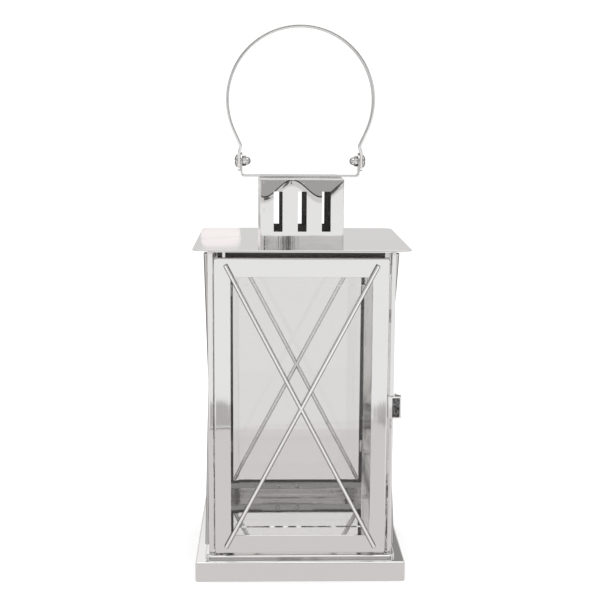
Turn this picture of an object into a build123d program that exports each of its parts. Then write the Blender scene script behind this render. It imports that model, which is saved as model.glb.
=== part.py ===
"""Square polished-steel candle lantern with a hinged glass door and a swinging bail handle.

Frame: origin at the centre of the base's underside, +Z up, the door faces -Y, millimetres.
Each sheet-metal wall, pane, rod and fastener is its own solid, written as its own STEP file.
"""
from build123d import *
from math import acos, atan2, cos, hypot, sin
import os

# Sheet and clearances ----------------------------------------------------------------------
sheet = 0.8                 # body, door, tray and chimney sheet
fold_radius = 1.2           # outside radius of a folded corner
running_gap = 0.08          # radial play of a pin in a hole that turns on it
bolt_gap = 0.10             # radial play of a screw in a fixed hole
side_play = 0.25            # play beside a swinging strap

# Base tray and floor pan -------------------------------------------------------------------
base_height = 15.0
base_margin = 7.0           # base beyond the pan, each side
base_corner = 1.5
base_hem = 6.0              # inturned rim that the lantern stands on
pan_height = 2.6
pan_margin = 3.0            # pan beyond the body, each side
pan_corner = 6.0

# Body walls --------------------------------------------------------------------------------
body_width = 140.0
body_height = 235.9
wall_stile = 15.0
wall_bottom_rail = 15.4
wall_top_rail = 20.5
wall_flange = 6.0           # inward flange of each wall, top and bottom
left_post_lip = 3.8         # front lips that frame the door
right_post_lip = 3.0
top_rail_drop = 2.0
top_rail_shelf = 16.0
door_stop_drop = 12.0       # stop behind the door's top, below the roof

# Roof and chimney --------------------------------------------------------------------------
roof_overhang = 11.0
roof_sheet = 1.0
roof_edge_round = 0.4
roof_corner = 8.0
chimney_width = 64.4
chimney_height = 48.0
chimney_corner = 1.6
chimney_foot = 4.0          # inturned foot welded to the roof
slot_width = 6.8
slot_height = 30.8
slot_pitch = 18.5
slot_rise = 8.5             # slot's lower end above the roof
slot_count = 3
slot_corner = 0.6

# Door --------------------------------------------------------------------------------------
left_door_gap = 0.7
right_door_gap = 1.5
door_bottom_gap = 0.9
door_top_gap = 6.0
door_depth = 7.0
door_stile = 12.5
door_rail = 14.5
hinge_inset = 7.5           # pin axis from the door's hinged edge
pin_radius = 1.6
pin_reach = 4.5             # pin beyond the edge of the door that it enters
pin_collar_radius = 3.0
pin_collar_gap = 0.3

# Clasp -------------------------------------------------------------------------------------
clasp_sheet = 0.8
clasp_height = 17.0
clasp_centre = 116.5        # above the floor of the lantern
clasp_front_gap = 1.2       # leaf in front of the post lip
clasp_reach = 5.9           # leaf beyond the body's side
clasp_tip_gap = 0.8
clasp_bend = 1.4
clasp_bend_depth = 4.2      # where its end turns in, behind the door's front
clasp_tip_depth = 8.4       # where it touches the side
clasp_end_depth = 11.2
clasp_flare = 1.6

# Glass and what holds it -------------------------------------------------------------------
glass_thickness = 2.0
glass_lap = 3.0             # pane behind the edge of its window
tab_sheet = 0.6
tab_height = 10.0
tab_foot = 3.6
tab_lip = 2.4
tab_edge_gap = 0.2
tab_inset = 34.0            # tabs from the ends of the pane
ledge_length = 45.0
ledge_height = 5.2
ledge_depth = 2.4
ledge_offset = -7.5         # ledge's centre, seen from the front
rivet_pitch = 17.0
rivet_radius = 1.2
rivet_head_radius = 2.0
rivet_head_height = 0.8
rivet_head_round = 0.64

# Crossed rods ------------------------------------------------------------------------------
rod_radius = 1.65
rod_end_round = 0.5
door_rod_side = 8.5         # rod ends from the door's edges
door_rod_end = 5.0
wall_rod_side = 10.0        # rod ends from the wall's edges
wall_rod_bottom = 4.4
wall_rod_top = 3.5

# Handle and its bracket --------------------------------------------------------------------
bracket_sheet = 1.2
bracket_width = 14.0
bracket_half_span = 46.7    # outer face of each ear from the centre
bracket_bend = 2.4
ear_radius = 6.5
pivot_rise = 11.0           # pivot above the bracket's floor
handle_thickness = 2.0
handle_width = 8.5
handle_loop_radius = 58.0   # outside of the loop
handle_loop_rise = 47.0     # loop's centre above the pivot
handle_tail = 7.7           # strap below the pivot
handle_neck_bend = 4.0
handle_neck_rise = 11.5     # neck above the pivot
handle_neck_draw = 1.5      # neck nearer the middle than the ends, each side
handle_shoulder_bend = 8.0
screw_radius = 2.0
screw_head_radius = 4.8
screw_head_height = 2.3
screw_dome_rise = 1.65      # point on the head's dome, from its seat and from the axis
screw_dome_radius = 3.0
screw_slot_width = 1.0
screw_slot_length = 4.6
screw_slot_depth = 0.9
nut_flats = 7.0
nut_hex_length = 3.0
nut_length = 6.6
nut_dome_radius = 3.1
nut_wall = 1.2              # closed end of the nut beyond the screw
nut_dome_rise = 0.95        # point on the nut's dome, from its end and from the axis
nut_dome_waist = 2.3

# Derived heights and widths ----------------------------------------------------------------
floor_z = base_height + pan_height
roof_z = floor_z + body_height
roof_top_z = roof_z + roof_sheet
chimney_top_z = roof_top_z + chimney_height
bracket_z = chimney_top_z + sheet
pivot_z = bracket_z + bracket_sheet + pivot_rise
loop_z = pivot_z + handle_loop_rise
pan_width = body_width + 2 * pan_margin
base_width = pan_width + 2 * base_margin
roof_width = body_width + 2 * roof_overhang
half_body = body_width / 2
inner_half = half_body - sheet
flue_width = chimney_width - 2 * sheet - 2 * chimney_foot
wall_window_width = body_width - 2 * wall_stile
wall_window_height = body_height - wall_bottom_rail - wall_top_rail
wall_window_z = floor_z + wall_bottom_rail + wall_window_height / 2
door_left = -half_body + left_post_lip + left_door_gap
door_right = half_body - right_post_lip - right_door_gap
door_width = door_right - door_left
door_centre = (door_left + door_right) / 2
door_bottom = floor_z + door_bottom_gap
door_top = roof_z - door_top_gap
door_height = door_top - door_bottom
door_window_width = door_width - 2 * door_stile
door_window_height = door_height - 2 * door_rail
door_window_z = (door_bottom + door_top) / 2
hinge_x = door_left + hinge_inset
hinge_y = -half_body + door_depth / 2
ear_inner = bracket_half_span - bracket_sheet
strap_inner = bracket_half_span + side_play
strap_outer = strap_inner + handle_thickness
head_inner = strap_outer + side_play
nut_end = ear_inner - nut_length
screw_tip = nut_end + nut_wall

# Outer face of each wall: local x runs along the wall, local y is up, the normal points out
front_face = Plane((0, -half_body, 0), x_dir=(1, 0, 0), z_dir=(0, -1, 0))
back_face = Plane((0, half_body, 0), x_dir=(-1, 0, 0), z_dir=(0, 1, 0))
left_face = Plane((-half_body, 0, 0), x_dir=(0, -1, 0), z_dir=(-1, 0, 0))
right_face = Plane((half_body, 0, 0), x_dir=(0, 1, 0), z_dir=(1, 0, 0))

os.makedirs("parts", exist_ok=True)


def save(builder, label):
    """Label the finished piece and write its STEP file."""
    builder.part.label = label
    export_step(builder.part, f"parts/{label}.step")


def inverted_pan(width, corner, height, bottom_z):
    """Folded pan with its flat face up and its rim down."""
    with BuildPart() as pan:
        with BuildSketch(Plane.XY.offset(bottom_z)):
            RectangleRounded(width, width, corner)
        extrude(amount=height)
        fillet(pan.edges().group_by(Axis.Z)[-1], radius=min(fold_radius, height / 2))
        offset(amount=-sheet, openings=pan.faces().sort_by(Axis.Z)[0])
    return pan


def glass_pane(face, centre, window_width, window_height):
    """Pane behind a window, lapping its edge all round; centre is in the wall's own plane."""
    with BuildPart() as pane:
        with BuildSketch(face.offset(-sheet - glass_thickness)):
            with Locations(centre):
                Rectangle(window_width + 2 * glass_lap, window_height + 2 * glass_lap)
        extrude(amount=glass_thickness)
    return pane


def glass_tabs(face, centre, window_width, window_height):
    """Four folded tabs whose feet are welded beside the pane and whose lips hold its edge."""
    pane_edge = window_width / 2 + glass_lap
    tab_z = window_height / 2 + glass_lap - tab_inset
    foot_edge = pane_edge + tab_edge_gap
    behind_glass = sheet + glass_thickness
    layers = (
        (foot_edge, foot_edge + tab_foot, sheet, sheet + tab_sheet),
        (foot_edge, foot_edge + tab_sheet, sheet, behind_glass + tab_sheet),
        (pane_edge - tab_lip, foot_edge + tab_sheet, behind_glass, behind_glass + tab_sheet),
    )
    with BuildPart() as tabs:
        for near, far, shallow, deep in layers:
            middle = (near + far) / 2
            with BuildSketch(face.offset(-deep)):
                for side in (-1, 1):
                    for end in (-1, 1):
                        with Locations((centre[0] + side * middle, centre[1] + end * tab_z)):
                            Rectangle(far - near, tab_height)
            extrude(amount=deep - shallow)
    return tabs


def rod(face, start, end):
    """Straight round rod lying on the outside of a wall, from start to end in its plane."""
    axis_plane = face.offset(rod_radius)
    first = axis_plane.from_local_coords((start[0], start[1], 0))
    last = axis_plane.from_local_coords((end[0], end[1], 0))
    along = last - first
    with BuildPart() as bar:
        with BuildSketch(Plane(first, z_dir=along)):
            Circle(rod_radius)
        extrude(amount=along.length)
        fillet(bar.edges().filter_by(GeomType.CIRCLE), radius=rod_end_round)
    return bar


def crossed_rods(face, name, left, right, low, high):
    """One long rod and, in the same plane, the two halves that butt against it."""
    long_rod = rod(face, (left, high), (right, low))
    with BuildPart() as half_rods:
        add(rod(face, (right, high), (left, low)).part)
        add(long_rod.part, mode=Mode.SUBTRACT)
    save(long_rod, f"{name}_long_rod")
    save(half_rods, f"{name}_half_rods")


# Base tray: inverted pan with an inturned rim ----------------------------------------------
tray = inverted_pan(base_width, base_corner, base_height, 0)
with BuildPart() as base_tray:
    add(tray.part)
    with BuildSketch(Plane.XY):
        RectangleRounded(base_width, base_width, base_corner)
        Rectangle(base_width - 2 * base_hem, base_width - 2 * base_hem, mode=Mode.SUBTRACT)
    extrude(amount=sheet)
save(base_tray, "base_tray")

# Floor pan: the lantern's floor, with a tight hole for the lower pin ------------------------
pan = inverted_pan(pan_width, pan_corner, pan_height, base_height)
with BuildPart() as floor_pan:
    add(pan.part)
    with BuildSketch(Plane.XY.offset(base_height)):
        with Locations((hinge_x, hinge_y)):
            Circle(pin_radius)
    extrude(amount=pan_height, mode=Mode.SUBTRACT)
save(floor_pan, "floor_pan")

# Side walls: window frames folded inward at the front, the top and the bottom ---------------
flange_length = body_width - 2 * wall_stile + 2 * wall_flange
for label, face, side, lip in (("left_panel", left_face, -1, left_post_lip),
                               ("right_panel", right_face, 1, right_post_lip)):
    with BuildPart() as side_panel:
        with BuildSketch(face.offset(-sheet)):
            with Locations((0, floor_z + body_height / 2)):
                Rectangle(body_width, body_height)
            with Locations((0, wall_window_z)):
                Rectangle(wall_window_width, wall_window_height, mode=Mode.SUBTRACT)
        extrude(amount=sheet)
        with BuildSketch(Plane.XY.offset(floor_z)):
            with Locations((side * (half_body - lip / 2), -half_body + sheet / 2)):
                Rectangle(lip, sheet)
        extrude(amount=body_height)
        for flange_z in (floor_z, roof_z - sheet):
            with BuildSketch(Plane.XY.offset(flange_z)):
                with Locations((side * (half_body - wall_flange / 2), 0)):
                    Rectangle(wall_flange, flange_length)
            extrude(amount=sheet)
        corner = side_panel.edges().filter_by(Axis.Z).sort_by_distance(
            (side * half_body, -half_body, floor_z + body_height / 2))[0]
        fillet(corner, radius=fold_radius)
    save(side_panel, label)

# Back wall: fits between the side walls, with flanges folded forward along them -------------
with BuildPart() as back_panel:
    with BuildSketch(back_face.offset(-sheet)):
        with Locations((0, floor_z + body_height / 2)):
            Rectangle(2 * inner_half, body_height)
        with Locations((0, wall_window_z)):
            Rectangle(wall_window_width, wall_window_height, mode=Mode.SUBTRACT)
    extrude(amount=sheet)
    with BuildSketch(Plane.XY.offset(floor_z)):
        for side in (-1, 1):
            with Locations((side * (inner_half - sheet / 2), half_body - wall_flange / 2)):
                Rectangle(sheet, wall_flange)
    extrude(amount=body_height)
    for flange_z in (floor_z, roof_z - sheet):
        with BuildSketch(Plane.XY.offset(flange_z)):
            with Locations((0, half_body - wall_flange / 2)):
                Rectangle(flange_length, wall_flange)
        extrude(amount=sheet)
    rivet_z = floor_z + wall_bottom_rail - glass_lap - ledge_height / 2
    with BuildSketch(back_face.offset(-sheet)):
        with Locations((-ledge_offset, rivet_z)):
            with GridLocations(rivet_pitch, 0, 2, 1):
                Circle(rivet_radius)
    extrude(amount=sheet, mode=Mode.SUBTRACT)
save(back_panel, "back_panel")

# Front top rail: a lip above the door and a shelf that holds the upper pin ------------------
with BuildPart() as front_top_rail:
    with BuildSketch(Plane.XY.offset(roof_z - top_rail_drop)):
        with Locations(((left_post_lip - right_post_lip) / 2, -half_body + sheet / 2)):
            Rectangle(body_width - left_post_lip - right_post_lip, sheet)
    extrude(amount=top_rail_drop)
    with BuildSketch(Plane.XY.offset(roof_z - sheet)):
        with Locations((0, -inner_half + top_rail_shelf / 2)):
            Rectangle(2 * inner_half, top_rail_shelf)
        for side in (-1, 1):
            with Locations((side * (half_body - wall_flange / 2), 0)):
                Rectangle(wall_flange, flange_length, mode=Mode.SUBTRACT)
        with Locations((hinge_x, hinge_y)):
            Circle(pin_radius, mode=Mode.SUBTRACT)
    extrude(amount=sheet)
    with BuildSketch(Plane.XY.offset(roof_z - door_stop_drop)):
        with Locations((0, -inner_half + top_rail_shelf - sheet / 2)):
            Rectangle(body_width - 2 * wall_flange, sheet)
    extrude(amount=door_stop_drop)
save(front_top_rail, "front_top_rail")

# Roof plate with the flue opening under the chimney ----------------------------------------
with BuildPart() as roof_plate:
    with BuildSketch(Plane.XY.offset(roof_z)):
        RectangleRounded(roof_width, roof_width, roof_corner)
        Rectangle(flue_width, flue_width, mode=Mode.SUBTRACT)
    extrude(amount=roof_sheet)
    fillet(roof_plate.edges().group_by(Axis.Z)[-1].filter_by(
        lambda edge: edge.center().X ** 2 + edge.center().Y ** 2 > half_body ** 2), radius=roof_edge_round)
save(roof_plate, "roof_plate")

# Chimney: square tube with vent slots in every face and an inturned foot --------------------
with BuildPart() as chimney_shell:
    with BuildSketch(Plane.XY.offset(roof_top_z)):
        RectangleRounded(chimney_width, chimney_width, chimney_corner)
    extrude(amount=chimney_height)
    with BuildSketch(Plane.XY.offset(roof_top_z + sheet)):
        RectangleRounded(chimney_width - 2 * sheet, chimney_width - 2 * sheet, chimney_corner - sheet)
    extrude(amount=chimney_height, mode=Mode.SUBTRACT)
    with BuildSketch(Plane.XY.offset(roof_top_z)):
        Rectangle(flue_width, flue_width)
    extrude(amount=sheet, mode=Mode.SUBTRACT)
    for slot_plane in (Plane.XZ, Plane.YZ):
        with BuildSketch(slot_plane):
            with Locations((0, roof_top_z + slot_rise + slot_height / 2)):
                with GridLocations(slot_pitch, 0, slot_count, 1):
                    RectangleRounded(slot_width, slot_height, slot_corner)
        extrude(amount=chimney_width, both=True, mode=Mode.SUBTRACT)
save(chimney_shell, "chimney_shell")

with BuildPart() as chimney_cap:
    with BuildSketch(Plane.XY.offset(chimney_top_z)):
        RectangleRounded(chimney_width, chimney_width, chimney_corner)
    extrude(amount=sheet)
save(chimney_cap, "chimney_cap")

# Handle bracket: strap across the chimney with its ends turned up into ears -----------------
bracket_top_z = pivot_z + ear_radius
ear_centre = bracket_half_span - bracket_sheet / 2
strap_floor_z = bracket_z + bracket_sheet / 2
with BuildPart() as handle_bracket:
    with BuildSketch(Plane.XZ):
        with BuildLine():
            FilletPolyline((-ear_centre, bracket_top_z), (-ear_centre, strap_floor_z),
                           (ear_centre, strap_floor_z), (ear_centre, bracket_top_z),
                           radius=bracket_bend)
        trace(line_width=bracket_sheet)
    extrude(amount=bracket_width / 2, both=True)
    with BuildSketch(Plane.YZ):
        with Locations((0, bracket_z + bracket_bend)):
            Rectangle(bracket_width, 2 * bracket_bend)
        with Locations((0, pivot_z)):
            Circle(ear_radius)
        make_hull()
    extrude(amount=2 * bracket_half_span, both=True, mode=Mode.INTERSECT)
    with BuildSketch(Plane.YZ):
        with Locations((0, pivot_z)):
            Circle(screw_radius + bolt_gap)
    extrude(amount=2 * bracket_half_span, both=True, mode=Mode.SUBTRACT)
save(handle_bracket, "handle_bracket")

# Pivot screws and their closed nuts, right then left ----------------------------------------
pivot_axis = Axis((0, 0, pivot_z), (1, 0, 0))
with BuildPart() as right_pivot_screw:
    with BuildSketch(Plane.XZ):
        with BuildLine():
            Polyline((head_inner + screw_head_height, pivot_z), (screw_tip, pivot_z),
                     (screw_tip, pivot_z + screw_radius), (head_inner, pivot_z + screw_radius),
                     (head_inner, pivot_z + screw_head_radius))
            ThreePointArc((head_inner, pivot_z + screw_head_radius),
                          (head_inner + screw_dome_rise, pivot_z + screw_dome_radius),
                          (head_inner + screw_head_height, pivot_z))
        make_face()
    revolve(axis=pivot_axis)
    with BuildSketch(Plane.YZ.offset(head_inner + screw_head_height - screw_slot_depth)):
        with Locations((0, pivot_z)):
            Rectangle(screw_slot_length, screw_slot_width)
            Rectangle(screw_slot_width, screw_slot_length)
    extrude(amount=screw_head_height, mode=Mode.SUBTRACT)
save(right_pivot_screw, "right_pivot_screw")

nut_corner_radius = nut_flats / 3 ** 0.5
hex_end = ear_inner - nut_hex_length
with BuildPart() as right_acorn_nut:
    with BuildSketch(Plane.XZ):
        with BuildLine():
            Polyline((nut_end, pivot_z), (screw_tip, pivot_z), (screw_tip, pivot_z + screw_radius),
                     (ear_inner, pivot_z + screw_radius), (ear_inner, pivot_z + nut_corner_radius),
                     (hex_end, pivot_z + nut_corner_radius), (hex_end, pivot_z + nut_dome_radius))
            ThreePointArc((hex_end, pivot_z + nut_dome_radius),
                          (nut_end + nut_dome_rise, pivot_z + nut_dome_waist),
                          (nut_end, pivot_z))
        make_face()
    revolve(axis=pivot_axis)
    with BuildSketch(Plane.YZ.offset(nut_end)):
        with Locations((0, pivot_z)):
            RegularPolygon(nut_flats / 2, 6, major_radius=False)
    extrude(amount=nut_length, mode=Mode.INTERSECT)
save(right_acorn_nut, "right_acorn_nut")

for label, right_piece in (("left_pivot_screw", right_pivot_screw), ("left_acorn_nut", right_acorn_nut)):
    with BuildPart() as left_piece:
        mirror(right_piece.part, about=Plane.YZ)
    save(left_piece, label)

# Handle: flat strap bent into a loop, with drilled straight ends ----------------------------
strap_centre = (strap_inner + strap_outer) / 2
loop_radius = handle_loop_radius - handle_thickness / 2
neck_x = strap_centre - handle_neck_draw
neck_z = pivot_z + handle_neck_rise
shoulder_z = pivot_z + ear_radius + side_play
neck_reach = hypot(neck_x, neck_z - loop_z)
loop_start = atan2(neck_z - loop_z, neck_x) + acos(loop_radius / neck_reach)
loop_x = loop_radius * cos(loop_start)
loop_end_z = loop_z + loop_radius * sin(loop_start)
with BuildPart() as handle_strap:
    with BuildSketch(Plane.XZ):
        with BuildLine() as strap_path:
            Polyline((-strap_centre, pivot_z - handle_tail), (-strap_centre, shoulder_z),
                     (-neck_x, neck_z), (-loop_x, loop_end_z))
            ThreePointArc((-loop_x, loop_end_z), (0, loop_z + loop_radius), (loop_x, loop_end_z))
            Polyline((loop_x, loop_end_z), (neck_x, neck_z), (strap_centre, shoulder_z),
                     (strap_centre, pivot_z - handle_tail))
            necks = strap_path.vertices().filter_by_position(Axis.Y, neck_z - sheet, neck_z + sheet)
            fillet(necks, radius=handle_neck_bend)
            shoulders = strap_path.vertices().filter_by_position(
                Axis.Y, shoulder_z - sheet, shoulder_z + sheet)
            fillet(shoulders, radius=handle_shoulder_bend)
        trace(line_width=handle_thickness)
    extrude(amount=handle_width / 2, both=True)
    with BuildSketch(Plane.YZ):
        with Locations((0, pivot_z - handle_tail + handle_width / 2)):
            Circle(handle_width / 2)
        with Locations((0, loop_z + handle_tail)):
            Rectangle(handle_width, 2 * (loop_z - pivot_z + handle_tail + handle_tail) - handle_width)
    extrude(amount=2 * handle_loop_radius, both=True, mode=Mode.INTERSECT)
    with BuildSketch(Plane.YZ):
        with Locations((0, pivot_z)):
            Circle(screw_radius + running_gap)
    extrude(amount=2 * handle_loop_radius, both=True, mode=Mode.SUBTRACT)
save(handle_strap, "handle_strap")

# Door: shallow pan with a window, returned all round, drilled for its two pins --------------
with BuildPart() as door_frame:
    with BuildSketch(front_face.offset(-door_depth)):
        with Locations((door_centre, door_window_z)):
            Rectangle(door_width, door_height)
    extrude(amount=door_depth)
    fillet(door_frame.faces().sort_by(Axis.Y)[0].edges(), radius=fold_radius)
    offset(amount=-sheet, openings=door_frame.faces().sort_by(Axis.Y)[-1])
    with BuildSketch(front_face.offset(-sheet)):
        with Locations((door_centre, door_window_z)):
            Rectangle(door_window_width, door_window_height)
    extrude(amount=sheet, mode=Mode.SUBTRACT)
    with BuildSketch(Plane.XY.offset(door_bottom)):
        with Locations((hinge_x, hinge_y)):
            Circle(pin_radius + running_gap)
    extrude(amount=door_height, mode=Mode.SUBTRACT)
save(door_frame, "door_frame")

# Hinge pins: the upper one hangs from the rail's shelf, the lower one stands in the pan ------
with BuildPart() as top_hinge_pin:
    with BuildSketch(Plane.XY.offset(door_top - pin_reach)):
        with Locations((hinge_x, hinge_y)):
            Circle(pin_radius)
    extrude(amount=roof_z - door_top + pin_reach)
save(top_hinge_pin, "top_hinge_pin")

with BuildPart() as bottom_hinge_pin:
    with BuildSketch(Plane.XY.offset(base_height)):
        with Locations((hinge_x, hinge_y)):
            Circle(pin_radius)
    extrude(amount=door_bottom + pin_reach - base_height)
    with BuildSketch(Plane.XY.offset(floor_z)):
        with Locations((hinge_x, hinge_y)):
            Circle(pin_collar_radius)
    extrude(amount=door_bottom_gap - pin_collar_gap)
save(bottom_hinge_pin, "bottom_hinge_pin")

# Clasp: spring strip welded to the door's free edge, reaching round the right post ----------
clasp_foot_x = door_right + clasp_sheet / 2
clasp_leaf_y = -half_body - clasp_front_gap - clasp_sheet / 2
clasp_side_x = half_body + clasp_reach - clasp_sheet / 2
clasp_tip_x = half_body + clasp_tip_gap + clasp_sheet / 2
with BuildPart() as door_clasp:
    with BuildSketch(Plane.XY.offset(floor_z + clasp_centre - clasp_height / 2)):
        with BuildLine():
            FilletPolyline((clasp_foot_x, -half_body + door_depth - sheet),
                           (clasp_foot_x, clasp_leaf_y),
                           (clasp_side_x, clasp_leaf_y),
                           (clasp_side_x, -half_body + clasp_bend_depth),
                           (clasp_tip_x, -half_body + clasp_tip_depth),
                           (clasp_tip_x + clasp_flare, -half_body + clasp_end_depth),
                           radius=clasp_bend)
        trace(line_width=clasp_sheet)
    extrude(amount=clasp_height)
save(door_clasp, "door_clasp")

# Glass and tabs on every side ---------------------------------------------------------------
walls = (
    ("left", left_face, (0, wall_window_z), wall_window_width, wall_window_height),
    ("right", right_face, (0, wall_window_z), wall_window_width, wall_window_height),
    ("back", back_face, (0, wall_window_z), wall_window_width, wall_window_height),
    ("door", front_face, (door_centre, door_window_z), door_window_width, door_window_height),
)
for name, face, centre, window_width, window_height in walls:
    save(glass_pane(face, centre, window_width, window_height), f"{name}_glass")
    save(glass_tabs(face, centre, window_width, window_height), f"{name}_glass_tabs")

# Ledge under the back pane, riveted through the bottom rail ---------------------------------
with BuildPart() as back_glass_ledge:
    with BuildSketch(back_face.offset(-sheet - ledge_depth)):
        with Locations((-ledge_offset, rivet_z)):
            Rectangle(ledge_length, ledge_height)
            with GridLocations(rivet_pitch, 0, 2, 1):
                Circle(rivet_radius, mode=Mode.SUBTRACT)
    extrude(amount=ledge_depth)
save(back_glass_ledge, "back_glass_ledge")

with BuildPart() as ledge_rivets:
    with BuildSketch(back_face.offset(-sheet - ledge_depth)):
        with Locations((-ledge_offset, rivet_z)):
            with GridLocations(rivet_pitch, 0, 2, 1):
                Circle(rivet_radius)
    extrude(amount=ledge_depth + sheet)
    for head_plane in (back_face.offset(-sheet - ledge_depth - rivet_head_height), back_face):
        with BuildSketch(head_plane):
            with Locations((-ledge_offset, rivet_z)):
                with GridLocations(rivet_pitch, 0, 2, 1):
                    Circle(rivet_head_radius)
        extrude(amount=rivet_head_height)
    end_faces = ledge_rivets.faces().filter_by(Axis.Y).group_by(Axis.Y)
    fillet((end_faces[0] + end_faces[-1]).edges(), radius=rivet_head_round)
save(ledge_rivets, "ledge_rivets")

# Crossed rods on every side -----------------------------------------------------------------
wall_rod_x = half_body - wall_rod_side
for name, face in (("left", left_face), ("right", right_face), ("back", back_face)):
    crossed_rods(face, name, -wall_rod_x, wall_rod_x, floor_z + wall_rod_bottom, roof_z - wall_rod_top)
crossed_rods(front_face, "door", door_left + door_rod_side, door_right - door_rod_side,
             door_bottom + door_rod_end, door_top - door_rod_end)
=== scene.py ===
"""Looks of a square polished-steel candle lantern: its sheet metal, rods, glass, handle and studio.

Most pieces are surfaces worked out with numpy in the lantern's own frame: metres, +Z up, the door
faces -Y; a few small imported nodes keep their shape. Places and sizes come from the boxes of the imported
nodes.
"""

import logging
from dataclasses import dataclass, field
from enum import Enum
from typing import Callable, Sequence

import bpy
import numpy as np
from mathutils import Matrix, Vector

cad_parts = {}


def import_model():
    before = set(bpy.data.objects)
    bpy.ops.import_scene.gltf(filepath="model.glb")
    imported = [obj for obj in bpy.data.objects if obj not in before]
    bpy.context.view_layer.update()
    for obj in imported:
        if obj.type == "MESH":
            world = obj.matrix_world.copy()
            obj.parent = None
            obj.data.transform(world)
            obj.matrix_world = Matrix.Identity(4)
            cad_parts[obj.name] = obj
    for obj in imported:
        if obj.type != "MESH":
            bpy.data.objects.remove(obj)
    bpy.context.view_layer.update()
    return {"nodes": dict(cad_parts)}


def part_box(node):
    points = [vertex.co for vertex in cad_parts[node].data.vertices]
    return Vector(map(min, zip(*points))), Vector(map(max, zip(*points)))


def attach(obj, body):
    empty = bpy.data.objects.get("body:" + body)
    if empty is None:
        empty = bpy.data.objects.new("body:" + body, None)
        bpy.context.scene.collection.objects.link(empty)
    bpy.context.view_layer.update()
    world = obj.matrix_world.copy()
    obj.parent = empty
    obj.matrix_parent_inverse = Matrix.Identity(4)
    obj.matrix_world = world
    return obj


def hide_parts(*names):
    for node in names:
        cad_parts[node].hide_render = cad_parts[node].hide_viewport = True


log = logging.getLogger("lantern")

MM = 0.001
QUARTER = np.pi / 2
SHARP_ANGLE = np.radians(32.0)

Array = np.ndarray
Face = Sequence[int]


class Body(Enum):
    """The three bodies that pieces ride on."""

    LANTERN = "lantern_body"
    DOOR = "door"
    HANDLE = "handle"


class Slot(Enum):
    """The record's material slots."""

    SHEET = "polished_steel"
    ROD = "rod_steel"
    FASTENER = "fastener_steel"
    GLASS = "clear_glass"


class Grain(Enum):
    """Direction of the fine polishing lines, as the stretch of the noise along X, Y and Z."""

    UPRIGHT = (1.0, 1.0, 0.03)
    ACROSS = (0.03, 1.0, 1.0)
    FLAT = (1.0, 0.03, 1.0)
    EVEN = (1.0, 1.0, 1.0)


# Finishes -----------------------------------------------------------------------------------


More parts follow.
